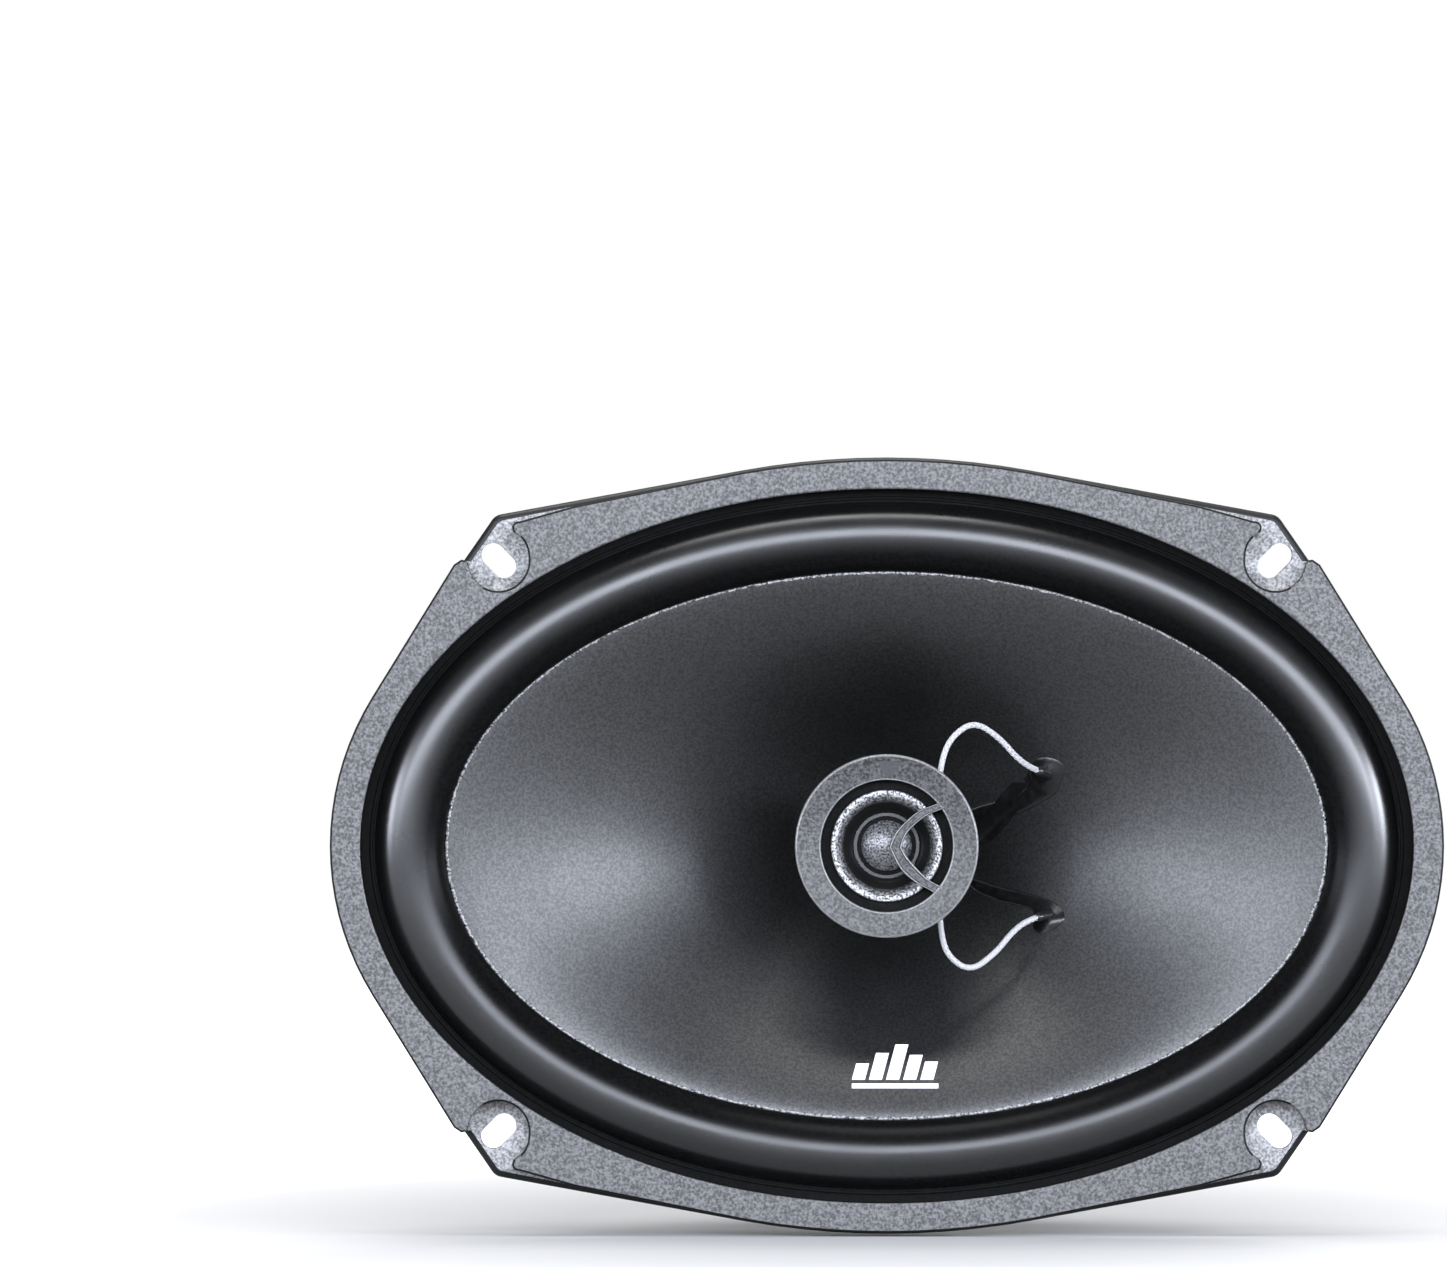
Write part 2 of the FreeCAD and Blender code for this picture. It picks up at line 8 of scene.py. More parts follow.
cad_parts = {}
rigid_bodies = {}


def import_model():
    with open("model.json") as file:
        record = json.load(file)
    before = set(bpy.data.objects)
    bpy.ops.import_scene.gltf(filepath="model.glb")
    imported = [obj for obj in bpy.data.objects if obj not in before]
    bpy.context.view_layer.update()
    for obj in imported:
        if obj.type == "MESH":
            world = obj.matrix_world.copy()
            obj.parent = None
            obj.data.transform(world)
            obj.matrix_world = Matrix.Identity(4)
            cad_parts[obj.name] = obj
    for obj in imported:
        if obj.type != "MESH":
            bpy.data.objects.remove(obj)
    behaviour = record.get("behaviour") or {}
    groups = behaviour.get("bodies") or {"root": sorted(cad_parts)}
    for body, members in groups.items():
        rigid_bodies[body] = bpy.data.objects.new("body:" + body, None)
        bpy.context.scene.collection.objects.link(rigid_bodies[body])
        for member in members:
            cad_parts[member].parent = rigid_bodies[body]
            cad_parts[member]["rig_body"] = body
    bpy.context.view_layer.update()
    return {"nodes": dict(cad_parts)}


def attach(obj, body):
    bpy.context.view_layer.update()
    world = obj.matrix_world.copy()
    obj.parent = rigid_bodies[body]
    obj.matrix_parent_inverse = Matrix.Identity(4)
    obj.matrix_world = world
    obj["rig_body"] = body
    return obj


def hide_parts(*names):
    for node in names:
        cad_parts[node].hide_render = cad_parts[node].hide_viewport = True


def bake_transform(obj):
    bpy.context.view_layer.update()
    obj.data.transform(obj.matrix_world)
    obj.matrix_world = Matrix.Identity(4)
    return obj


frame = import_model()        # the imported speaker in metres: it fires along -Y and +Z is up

scene = bpy.context.scene
nodes = frame["nodes"]
mm = 0.001
fullTurn = 2 * math.pi
weld = 1e-6            # points nearer than this, in metres, become one


# small tools for meshes

def link(name, mesh, material):
    piece = bpy.data.objects.new(name, mesh)
    scene.collection.objects.link(piece)
    mesh.materials.append(material)
    return piece


def finishMesh(bm, name, material, sharpAngle=35.0, outwards=True):
    if outwards:
        bmesh.ops.recalc_face_normals(bm, faces=bm.faces)
    for face in bm.faces:
        face.smooth = True
    mesh = bpy.data.meshes.new(name)
    bm.to_mesh(mesh)
    bm.free()
    mesh.set_sharp_from_angle(angle=math.radians(sharpAngle))
    return link(name, mesh, material)


def addWarpedGrid(bm, along, across, place):
    # a flat grid whose points are moved to place(u, v), with u and v from 0 to 1
    made = bmesh.ops.create_grid(bm, x_segments=along, y_segments=across, size=0.5)
    for vert in made["verts"]:
        vert.co = place(vert.co.x + 0.5, vert.co.y + 0.5)
    return made["verts"]


def addTurned(bm, profile, steps):
    # a closed profile of (radius, depth) in mm, turned once round the Y axis
    ring = [bm.verts.new((r * mm, y * mm, 0)) for r, y in profile]
    edges = [bm.edges.new((a, b)) for a, b in zip(ring, ring[1:] + ring[:1])]
    bmesh.ops.spin(bm, geom=ring + edges, cent=(0, 0, 0), axis=(0, 1, 0), angle=fullTurn,
                   steps=steps, use_merge=True, use_duplicate=False)
    bmesh.ops.remove_doubles(bm, verts=bm.verts, dist=2 * weld)


def arcPoints(start, middle, end, count):
    # points of the circle through three points, without the first
    ax, ay = start
    bx, by = middle
    cx, cy = end
    d = 2 * (ax * (by - cy) + bx * (cy - ay) + cx * (ay - by))
    a2, b2, c2 = ax * ax + ay * ay, bx * bx + by * by, cx * cx + cy * cy
    ox = (a2 * (by - cy) + b2 * (cy - ay) + c2 * (ay - by)) / d
    oy = (a2 * (cx - bx) + b2 * (ax - cx) + c2 * (bx - ax)) / d
    radius = math.hypot(ax - ox, ay - oy)
    first = math.atan2(ay - oy, ax - ox)
    half = (math.atan2(by - oy, bx - ox) - first + math.pi) % fullTurn - math.pi
    whole = (math.atan2(cy - oy, cx - ox) - first) % fullTurn
    if half < 0:
        whole -= fullTurn
    return [(ox + radius * math.cos(first + whole * i / count),
             oy + radius * math.sin(first + whole * i / count)) for i in range(1, count + 1)]


def mix(a, b, share):
    return tuple(p + (q - p) * share for p, q in zip(a, b))


def radiusAt(spot):
    # distance from the Y axis, in mm
    return math.hypot(spot.x, spot.z) / mm


def smoothThrough(points, count, closed=False):
    # evenly numbered points of a smooth curve through the given ones
    size = len(points)
    spans = size if closed else size - 1
    made = []
    for i in range(count + (0 if closed else 1)):
        t = i * spans / count
        k = min(int(t), spans - 1)
        t -= k
        pick = [points[(k + j) % size] if closed else points[max(0, min(size - 1, k + j))]
                for j in (-1, 0, 1, 2)]
        made.append(tuple(0.5 * (2 * b + (c - a) * t + (2 * a - 5 * b + 4 * c - d) * t ** 2
                                 + (3 * b - a - 3 * c + d) * t ** 3)
                          for a, b, c, d in zip(*pick)))
    return made


# small tools for materials

def newMaterial(name, colour, roughness, **sockets):
    material = bpy.data.materials.new(name)
    material.use_nodes = True
    shader = material.node_tree.nodes["Principled BSDF"]
    shader.inputs["Base Color"].default_value = (*colour, 1)
    shader.inputs["Roughness"].default_value = roughness
    for socket, value in sockets.items():
        shader.inputs[socket.replace("_", " ")].default_value = value
    return material


def addNode(material, kind, **settings):
    node = material.node_tree.nodes.new(kind)
    for key, value in settings.items():
        if key in node.bl_rna.properties:
            setattr(node, key, value)
        else:
            node.inputs[key].default_value = value
    return node


def join(material, source, target):
    material.node_tree.links.new(source, target)


def shaderOf(material):
    return material.node_tree.nodes["Principled BSDF"]


def noiseOf(material, size, detail):
    # cloudy grain whose lumps are about size metres wide, on the piece's own coordinates
    place = addNode(material, "ShaderNodeTexCoord")
    grain = addNode(material, "ShaderNodeTexNoise")
    grain.inputs["Scale"].default_value = 1 / size
    grain.inputs["Detail"].default_value = detail
    join(material, place.outputs["Object"], grain.inputs["Vector"])
    return grain.outputs["Fac"]


def rampOf(material, source, stops):
    # stops are (position, grey or colour)
    ramp = addNode(material, "ShaderNodeValToRGB")
    elements = ramp.color_ramp.elements
    while len(elements) < len(stops):
        elements.new(0.5)
    for element, (position, value) in zip(elements, stops):
        element.position = position
        colour = value if isinstance(value, tuple) else (value,) * 3
        element.color = (*colour, 1)
    join(material, source, ramp.inputs["Fac"])
    return ramp.outputs["Color"]


def bumpFrom(material, source, strength, depth):
    # adds relief of that depth in metres on top of any relief the shader already has
    shader = shaderOf(material)
    bump = addNode(material, "ShaderNodeBump")
    bump.inputs["Strength"].default_value = strength
    bump.inputs["Distance"].default_value = depth
    join(material, source, bump.inputs["Height"])
    if shader.inputs["Normal"].is_linked:
        join(material, shader.inputs["Normal"].links[0].from_socket, bump.inputs["Normal"])
    join(material, bump.outputs["Normal"], shader.inputs["Normal"])


def radiusOf(material):
    # distance from the Y axis, in metres
    place = addNode(material, "ShaderNodeTexCoord")
    flat = addNode(material, "ShaderNodeVectorMath", operation="MULTIPLY")
    flat.inputs[1].default_value = (1, 0, 1)
    length = addNode(material, "ShaderNodeVectorMath", operation="LENGTH")
    join(material, place.outputs["Object"], flat.inputs[0])
    join(material, flat.outputs["Vector"], length.inputs[0])
    return length.outputs["Value"]


grainLook = {
    "speckStops": (0.36, 0.66),     # noise levels of the dark and of the light colour
    "sheenStops": (0.35, 0.65),     # noise levels of the two roughnesses
    "patch": 20.0,                  # size of the patches of sheen, in mm
    "speckDetail": 2.0,
    "patchDetail": 3.0,
}


def grained(name, dark, light, rough, size, relief, strength, sockets=None):
    # fine grain with darker and lighter specks, broad patches of sheen, and relief
    look = grainLook
    material = newMaterial(name, light, rough[0], **(sockets or {}))
    shader = shaderOf(material)
    fine = noiseOf(material, size * mm, look["speckDetail"])
    broad = noiseOf(material, look["patch"] * mm, look["patchDetail"])
    colour = rampOf(material, fine, list(zip(look["speckStops"], (dark, light))))
    join(material, colour, shader.inputs["Base Color"])
    sheen = rampOf(material, broad, list(zip(look["sheenStops"], rough)))
    join(material, sheen, shader.inputs["Roughness"])
    bumpFrom(material, fine, strength, relief * mm)
    return material


# the finishes of the speaker

def grey(value, blue=1.0):
    return (value, value, value * blue)


metal = {"Metallic": 1.0}


def specular(level):
    return {"Specular_IOR_Level": level}


# dark and light colour, roughness from and to, size and depth of the grain in mm, its strength,
# and any other socket of the shader
grains = {
    "steelPaint": (grey(0.004), grey(0.007, 1.05), (0.40, 0.48), 0.9, 0.02, 0.35, specular(0.25)),
    "trimGrain": (grey(0.020), grey(0.108), (0.42, 0.50), 0.60, 0.11, 0.8),
    # near-black and almost unreflecting: painted shade on the trim ring's walls and outer rounding, and
    # on the guard's walls
    "paintedEdgeShade": (grey(0.003), grey(0.006), (0.45, 0.55), 0.6, 0.02, 0.3, specular(0.12)),
    # lighter than the trim ring's own grain: a painted highlight on the pocket floors
    "pocketFloorHighlight": (grey(0.09), grey(0.30), (0.34, 0.42), 0.55, 0.10, 0.8),
    "bezelGrain": (grey(0.006), grey(0.072), (0.42, 0.50), 0.56, 0.12, 0.9),
    # lighter grey: a painted highlight on the rims of the bezel and of the guard
    "rimHighlight": (grey(0.10), grey(0.20), (0.28, 0.34), 0.5, 0.01, 0.3),
    "darkRing": (grey(0.020), grey(0.034), (0.40, 0.46), 0.5, 0.01, 0.3),
    "rollRubber": (grey(0.002), grey(0.004), (0.26, 0.31), 0.8, 0.02, 0.4),
    # dull near-black: painted shade on the surround's land in the gap inside the trim ring
    "landRubberShade": (grey(0.002), grey(0.004), (0.55, 0.65), 0.8, 0.02, 0.4, specular(0.06)),
    "coneGrain": (grey(0.055), grey(0.086), (0.41, 0.45), 0.55, 0.03, 0.4, metal),
    "podPlastic": (grey(0.008), grey(0.014), (0.38, 0.48), 0.5, 0.015, 0.4),
    "smoothPlastic": (grey(0.012, 1.1), grey(0.020, 1.15), (0.28, 0.34), 0.8, 0.01, 0.25),
    "adhesive": (grey(0.003), grey(0.007), (0.20, 0.28), 1.6, 0.10, 0.5, specular(0.45)),
    # near-black and almost unreflecting: painted shade in the recess round the waveguide and at the
    # dome's edge
    "paintedRecessShade": (grey(0.004), grey(0.008), (0.55, 0.62), 0.6, 0.02, 0.3, specular(0.04)),
    "clearGlue": (grey(0.02), grey(0.30), (0.12, 0.22), 0.5, 0.12, 0.9),
    "sleeveRubber": (grey(0.006), grey(0.010), (0.20, 0.28), 0.6, 0.02, 0.3),
    "whitePrint": (grey(0.80), grey(0.90), (0.40, 0.50), 0.3, 0.01, 0.3),
    "ferrite": (grey(0.028), grey(0.055), (0.42, 0.62), 0.6, 0.03, 0.5),
    "zincPlate": (grey(0.42), grey(0.56, 1.03), (0.24, 0.36), 0.8, 0.01, 0.3, metal),
    "tinPlate": ((0.55, 0.52, 0.46), (0.70, 0.67, 0.60), (0.22, 0.34), 0.5, 0.01, 0.3, metal),
    "fibreBoard": ((0.10, 0.045, 0.018), (0.19, 0.095, 0.04), (0.55, 0.70), 0.35, 0.03, 0.6),
    "foil": (grey(0.62), grey(0.74, 1.02), (0.28, 0.40), 1.0, 0.01, 0.3, metal),
    "copper": ((0.42, 0.14, 0.06), (0.60, 0.24, 0.11), (0.25, 0.35), 0.3, 0.03, 0.4, metal),
    "nickel": (grey(0.60), grey(0.70), (0.15, 0.25), 0.8, 0.005, 0.3, metal),
    "blueSleeve": ((0.01, 0.02, 0.09), (0.015, 0.03, 0.13), (0.2, 0.3), 0.8, 0.01, 0.3),
    "braid": (grey(0.30), grey(0.50), (0.50, 0.62), 0.16, 0.03, 0.6),
}

paints = {
    "crinkle": 0.42,                # size and depth of the crinkles in the dome's film, in mm
    "crinkleDepth": 0.09,
    "crinkleStrength": 0.8,
    "crinkleColours": [(0.38, (0.03, 0.03, 0.032)), (0.62, (0.24, 0.24, 0.25))],
    "crinkleRoughness": [(0.3, 0.26), (0.7, 0.46)],
    "lipGrain": 0.5,                # size and depth of the waveguide's grain, in mm
    "lipDepth": 0.1,
    "lipStrength": 0.6,
    "lipReach": 14.0,               # radius in mm that counts as 1 in the fade
    # painted highlight: full on a band near the lip's crest, none in the throat
    "lipHighlightFade": [(0.66, 0.0), (0.75, 0.35), (0.80, 1.0), (0.835, 1.0), (0.855, 0.0)],
    "lipHighlightColours": [(0.40, (0.05, 0.05, 0.05)), (0.62, (0.62, 0.62, 0.63))],
    # painted shade in the throat
    "throatShade": (0.004, 0.004, 0.004, 1),
    "threads": 700.0,               # how close the spider's threads lie
    "threadWander": 0.4,
    "threadDepth": 0.08,
    "threadStrength": 0.6,
    "threadColours": [(0.3, (0.16, 0.09, 0.03)), (0.9, (0.50, 0.34, 0.14))],
}


def paintDome():
    # metallised film with fine crinkles
    material = newMaterial("domeFilm", (0.3, 0.31, 0.33), 0.34, Metallic=0.6)
    shader = shaderOf(material)
    crinkle = noiseOf(material, paints["crinkle"] * mm, 3.0)
    join(material, rampOf(material, crinkle, paints["crinkleColours"]), shader.inputs["Base Color"])
    join(material, rampOf(material, crinkle, paints["crinkleRoughness"]), shader.inputs["Roughness"])
    bumpFrom(material, crinkle, paints["crinkleStrength"], paints["crinkleDepth"] * mm)
    return material


def scaled(material, source, factor):
    product = addNode(material, "ShaderNodeMath", operation="MULTIPLY")
    product.inputs[1].default_value = factor
    join(material, source, product.inputs[0])
    return product.outputs["Value"]


def paintWaveguide():
    # rough lip with a painted highlight on a band near its crest, fading in streaks to painted shade in
    # a black throat
    material = newMaterial("waveguideFlare", grey(0.02), 0.4, **specular(0.1))
    shader = shaderOf(material)
    grain = noiseOf(material, paints["lipGrain"] * mm, 3.0)
    radius = radiusOf(material)
    lip = rampOf(material, scaled(material, radius, 1 / (paints["lipReach"] * mm)), paints["lipHighlightFade"])
    speck = rampOf(material, grain, paints["lipHighlightColours"])
    blend = addNode(material, "ShaderNodeMix", data_type="RGBA")
    # sockets 0, 6 and 7 are a colour mix's factor and its two colours, and output 2 is its result
    join(material, lip, blend.inputs[0])
    blend.inputs[6].default_value = paints["throatShade"]
    join(material, speck, blend.inputs[7])
    join(material, blend.outputs[2], shader.inputs["Base Color"])
    bumpFrom(material, grain, paints["lipStrength"], paints["lipDepth"] * mm)
    return material


def paintSpider():
    # resin-dipped cloth: two families of threads, laid square
    material = newMaterial("spiderCloth", (0.42, 0.27, 0.10), 0.7)
    shader = shaderOf(material)
    weave = addNode(material, "ShaderNodeMath", operation="MAXIMUM")
    for socket, axis in enumerate(("X", "Z")):
        place = addNode(material, "ShaderNodeTexCoord")
        threads = addNode(material, "ShaderNodeTexWave", bands_direction=axis)
        threads.inputs["Scale"].default_value = paints["threads"]
        threads.inputs["Distortion"].default_value = paints["threadWander"]
        join(material, place.outputs["Object"], threads.inputs["Vector"])
        join(material, threads.outputs["Fac"], weave.inputs[socket])
    woven = weave.outputs["Value"]
    join(material, rampOf(material, woven, paints["threadColours"]), shader.inputs["Base Color"])
    bumpFrom(material, woven, paints["threadStrength"], paints["threadDepth"] * mm)
    return material


def addPaintedSheen(material):
    # painted highlight and shade: the specular level comes from the piece's own attribute
    sheen = addNode(material, "ShaderNodeAttribute", attribute_name="sheen")
    join(material, sheen.outputs["Fac"], shaderOf(material).inputs["Specular IOR Level"])


finishes = {name: grained(name, *settings) for name, settings in grains.items()}
addPaintedSheen(finishes["rollRubber"])
finishes["domeFilm"] = paintDome()
finishes["waveguideFlare"] = paintWaveguide()
finishes["spiderCloth"] = paintSpider()
print("finishes:", len(finishes))


# camera

cameraSetup = {
    "place": (-34.9, -3000.0, 45.4),
    "lens": 348.6,
    "sensor": 36.0,
    "nearest": 0.05,            # in metres, as is the farthest
    "farthest": 60.0,
}


def addCamera():
    data = bpy.data.cameras.new("camera")
    data.lens = cameraSetup["lens"]
    data.sensor_width = cameraSetup["sensor"]
    data.clip_start = cameraSetup["nearest"]
    data.clip_end = cameraSetup["farthest"]
    camera = bpy.data.objects.new("camera", data)
    camera.location = Vector(cameraSetup["place"]) * mm
    camera.rotation_euler = (math.pi / 2, 0, 0)
    scene.collection.objects.link(camera)
    scene.camera = camera


addCamera()
print("camera in place")


# the four braided leads

leads = {
    "diameter": 1.3,
    "carriers": 4,          # strands each way round
    "pitch": 5.2,           # one turn of a strand, in mm
    "step": 0.16,
    "core": 0.62,           # the next five are shares of the lead's radius
    "strandReach": 0.72,
    "strandLift": 0.13,     # how far a strand rises over the one it crosses
    "strandWidth": 0.46,
    "strandThick": 0.15,
    "coreSides": 10,
    "strandSides": 6,
    "held": 4,              # points at each end
    "routes": {
        "frontLeadUpper": ("front_lead_upper", 36.2, [
            (11.4, 2.0, 14.6), (11.9, 2.6, 18.6), (14.0, 4.2, 23.3), (18.8, 6.6, 26.6),
            (24.2, 8.8, 23.2), (28.2, 11.2, 18.6), (31.4, 14.0, 16.4), (33.5, 16.2, 15.6)]),
        "frontLeadLower": ("front_lead_lower", 37.4, [
            (11.4, 2.0, -14.6), (11.7, 2.8, -19.0), (13.2, 4.4, -23.8), (18.0, 6.8, -27.2),
            (23.4, 9.2, -23.4), (27.6, 11.4, -18.2), (31.2, 14.0, -16.0), (33.4, 16.2, -15.5)]),
        "rearLeadPositive": ("rear_lead_positive", 51.0, [
            (82.7, 20.5, 11.6), (81.0, 17.6, 11.6), (76.8, 15.4, 11.8), (71.6, 17.2, 12.4),
            (66.2, 21.6, 13.2), (60.2, 25.8, 14.0), (54.2, 27.8, 14.5), (48.4, 28.4, 14.2),
            (43.9, 26.9, 13.2), (41.2, 24.6, 13.3), (39.15, 22.45, 13.55)]),
        "rearLeadNegative": ("rear_lead_negative", 50.1, [
            (82.7, 20.5, -11.6), (81.0, 17.6, -11.6), (76.6, 15.8, -12.2), (71.2, 18.2, -13.2),
            (65.4, 22.6, -13.8), (59.4, 26.2, -14.0), (53.6, 27.6, -14.2), (48.2, 27.9, -14.4),
            (44.2, 26.6, -14.3), (41.5, 24.3, -13.9), (39.35, 22.15, -14.2)]),
    },
}


def routeLine(name, points):
    # the smooth line of a route, read from its NURBS spline
    curve = bpy.data.curves.new(name + "Route", "CURVE")
    curve.dimensions = "3D"
    curve.resolution_u = 24
    spline = curve.splines.new("NURBS")
    spline.points.add(len(points) - 1)
    for point, spot in zip(spline.points, points):
        point.co = (*(Vector(spot) * mm), 1)
    spline.order_u = 3
    spline.use_endpoint_u = True
    holder = bpy.data.objects.new(name + "Route", curve)
    scene.collection.objects.link(holder)
    mesh = bpy.data.meshes.new_from_object(holder)
    line = [v.co.copy() for v in mesh.vertices]
    bpy.data.objects.remove(holder)
    bpy.data.curves.remove(curve)
    bpy.data.meshes.remove(mesh)
    return line


def evenly(line, step):
    # the same line with points a step apart
    lengths = [0.0]
    for a, b in zip(line, line[1:]):
        lengths.append(lengths[-1] + (b - a).length)
    count = max(8, round(lengths[-1] / step))
    made, k = [], 0
    for i in range(count + 1):
        reach = lengths[-1] * i / count
        while k < len(line) - 2 and lengths[k + 1] < reach:
            k += 1
        span = max(lengths[k + 1] - lengths[k], 1e-9)
        made.append(line[k].lerp(line[k + 1], min(1.0, (reach - lengths[k]) / span)))
    return made, lengths[-1]


def framesAlong(line):
    # a pair of side directions at each point, carried along without twist
    pairs = []
    side = Vector((0, 1, 0))
    for i in range(len(line)):
        ahead = (line[min(i + 1, len(line) - 1)] - line[max(i - 1, 0)]).normalized()
        side = (side - ahead * side.dot(ahead)).normalized()
        pairs.append((side.copy(), ahead.cross(side)))
    return pairs


def addStrand(bm, line, frames, sides, centreOf, halfWidth, halfThick):
    # a flat strand that winds round the line; centreOf(i) gives its angle and distance from it
    last = len(line) - 1

    def place(u, v):
        i = round(u * last)
        a, b = frames[i]
        angle, reach = centreOf(i)
        out = a * math.cos(angle) + b * math.sin(angle)
        across = b * math.cos(angle) - a * math.sin(angle)
        turn = fullTurn * v
        return line[i] + out * (reach + halfThick * math.cos(turn)) + across * halfWidth * math.sin(turn)

    addWarpedGrid(bm, last, sides, place)


def makeLead(name, spec):
    node, length, points = spec
    line, drawn = evenly(routeLine(name, points), leads["step"] * mm)
    frames = framesAlong(line)
    radius = leads["diameter"] / 2 * mm
    count = leads["carriers"]
    core, width, thick = (radius * leads[key] for key in ("core", "strandWidth", "strandThick"))
    bm = bmesh.new()
    addStrand(bm, line, frames, leads["coreSides"], lambda i: (0.0, 0.0), core, core)
    step = drawn / (len(line) - 1)
    for way in (1, -1):
        for k in range(count):
            def centreOf(i, way=way, k=k):
                wind = fullTurn * i * step / (leads["pitch"] * mm)
                lift = leads["strandLift"] * (way * math.cos(count * wind))
                return way * wind + fullTurn * k / count, radius * (leads["strandReach"] + lift)
            addStrand(bm, line, frames, leads["strandSides"], centreOf, width, thick)
    bmesh.ops.remove_doubles(bm, verts=bm.verts, dist=weld)
    bmesh.ops.holes_fill(bm, edges=[e for e in bm.edges if e.is_boundary], sides=12)
    piece = finishMesh(bm, name, finishes["braid"], sharpAngle=60.0)
    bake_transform(piece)
    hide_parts(node)


for leadName, leadSpec in leads["routes"].items():
    makeLead(leadName, leadSpec)
print("leads:", len(leads["routes"]))


# smooth copies of the CAD nodes whose shapes need no more than a finish

copies = {
    "basket": ("basketShell", "steelPaint", "black_painted_steel"),
    "trim_ring": ("trimRing", "trimGrain", "textured_plastic"),
    "voice_coil_former": ("coilFormer", "foil", "former_aluminium"),
    "voice_coil_winding": ("coilWinding", "copper", "copper_wire"),
    "top_plate": ("topPlate", "zincPlate", "plated_steel"),
    "magnet": ("ringMagnet", "ferrite", "ferrite"),
    "t_yoke": ("backPlate", "zincPlate", "plated_steel"),
    "motor_rivets": ("motorRivets", "zincPlate", "plated_steel"),
    "terminal_board": ("terminalBoard", "fibreBoard", "fibre_board"),
    "terminal_positive": ("wideBlade", "tinPlate", "tinned_brass"),
    "terminal_negative": ("narrowBlade", "tinPlate", "tinned_brass"),
    "terminal_rivets": ("boardRivets", "tinPlate", "tinned_brass"),
    "tweeter_post": ("podPost", "podPlastic", "black_plastic"),
    "post_washer": ("postWasher", "zincPlate", "plated_steel"),
    "post_screw": ("postScrew", "zincPlate", "plated_steel"),
    "tweeter_housing": ("podHousing", "podPlastic", "black_plastic"),
    "diaphragm_ring": ("clampRing", "darkRing", "black_plastic"),
    "tweeter_coil": ("domeCoil", "copper", "copper_wire"),
    "tweeter_cup": ("motorCup", "zincPlate", "plated_steel"),
    "tweeter_magnet": ("discMagnet", "nickel", "plated_magnet"),
    "tweeter_pole_plate": ("polePlate", "zincPlate", "plated_steel"),
    "crossover_capacitor": ("capacitor", "blueSleeve", "capacitor_sleeve"),
}

trim = {
    "front": -8.0,              # depth of the face whose edges are rounded
    "rounding": 0.44,
    "roundingSteps": 4,
    "flatWithin": 0.01,
    "cornerFrom": 1.0,          # an edge that turns by more, in radians, is a corner
    "joinBelow": 0.4,           # triangles that turn by less, in degrees, are joined before rounding
    "wallBelow": 0.3,           # how far a face looks forward, from 0 to 1, if it is a wall
    "outerEdgeBelow": 0.995,    # the same for the rounding on the outer side
    "floorAbove": 0.9,          # and for a pocket's floor
    "floorBehind": -7.5,
}


def roundFront(bm):
    # rounds the edges where the trim ring's front face turns into a wall
    def isCorner(edge):
        flat = all(abs(v.co.y / mm - trim["front"]) < trim["flatWithin"] for v in edge.verts)
        return flat and len(edge.link_faces) == 2 and edge.calc_face_angle(0) > trim["cornerFrom"]

    bmesh.ops.dissolve_limit(bm, angle_limit=math.radians(trim["joinBelow"]), verts=bm.verts,
                             edges=bm.edges)
    bmesh.ops.bevel(bm, geom=[e for e in bm.edges if isCorner(e)], offset=trim["rounding"] * mm,
                    offset_type="OFFSET", segments=trim["roundingSteps"], profile=0.5,
                    affect="EDGES", material=-1, clamp_overlap=False)
    bmesh.ops.triangulate(bm, faces=bm.faces[:])


def smoothCopy(node, name, finish):
    bm = bmesh.new()
    bm.from_mesh(nodes[node].data)
    bmesh.ops.remove_doubles(bm, verts=bm.verts, dist=weld)
    if node == "trim_ring":
        roundFront(bm)
    piece = finishMesh(bm, name, finishes[finish], sharpAngle=30.0, outwards=False)
    weighted = piece.modifiers.new("evenShading", "WEIGHTED_NORMAL")
    weighted.keep_sharp = True
    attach(piece, nodes[node]["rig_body"])
    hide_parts(node)
    return piece


def shadeTrim(piece):
    # painted shade on the walls and the outer rounding, and a painted highlight on the pocket floors
    piece.data.materials.append(finishes["paintedEdgeShade"])
    piece.data.materials.append(finishes["pocketFloorHighlight"])
    for face in piece.data.polygons:
        forward = -face.normal.y
        outwards = face.normal.x * face.center.x + face.normal.z * face.center.z > 0
        if forward < trim["wallBelow"] or (outwards and forward < trim["outerEdgeBelow"]):
            face.material_index = 1
        elif forward > trim["floorAbove"] and face.center.y / mm > trim["floorBehind"]:
            face.material_index = 2


for nodeName, (copyName, finishName, slotTitle) in copies.items():
    copied = smoothCopy(nodeName, copyName, finishName)
    if nodeName == "trim_ring":
        shadeTrim(copied)
print("copies:", len(copies))


# the rubber surround

surround = {
    "oval": (101.9, 66.0),      # crest line of the roll, half length and half height
    "around": 288,
    "outerFoot": 7.5,           # distances outside the crest line, in mm, down to the flap
    "innerFoot": -7.3,
    "landEdge": 10.5,
    "landShoulder": 9.2,
    "bead": (8.75, 8.35, 7.95),
    "groove": 7.75,
    "flap": (-8.6, -10.0),      # the part glued under the cone
    "front": -2.7,              # depth of the roll's feet
    "crest": -7.7,
    "footFold": -1.4,
    "back": -2.0,
    "flapBack": 0.6,
    "innerBack": -2.3,
    "skin": 0.7,
    "beadHeight": 0.35,
    "crestPoints": (36, 24),    # on the front and on the back of the roll
    "flankShadeLevel": 0.04,            # painted shade: specular level of the inner flank
    "crestHighlightLevel": 0.64,              # painted highlight: how much more specular level the crest has
    "shineFrom": -4.5,
    "shineTo": 1.0,
}


def onOval(oval, turn, out):
    # the point at that turn round the oval, moved out along its normal, as (x, z) in mm
    a, b = oval
    c, s = math.cos(turn), math.sin(turn)
    length = math.hypot(b * c, a * s)
    return a * c + out * b * c / length, b * s + out * a * s / length


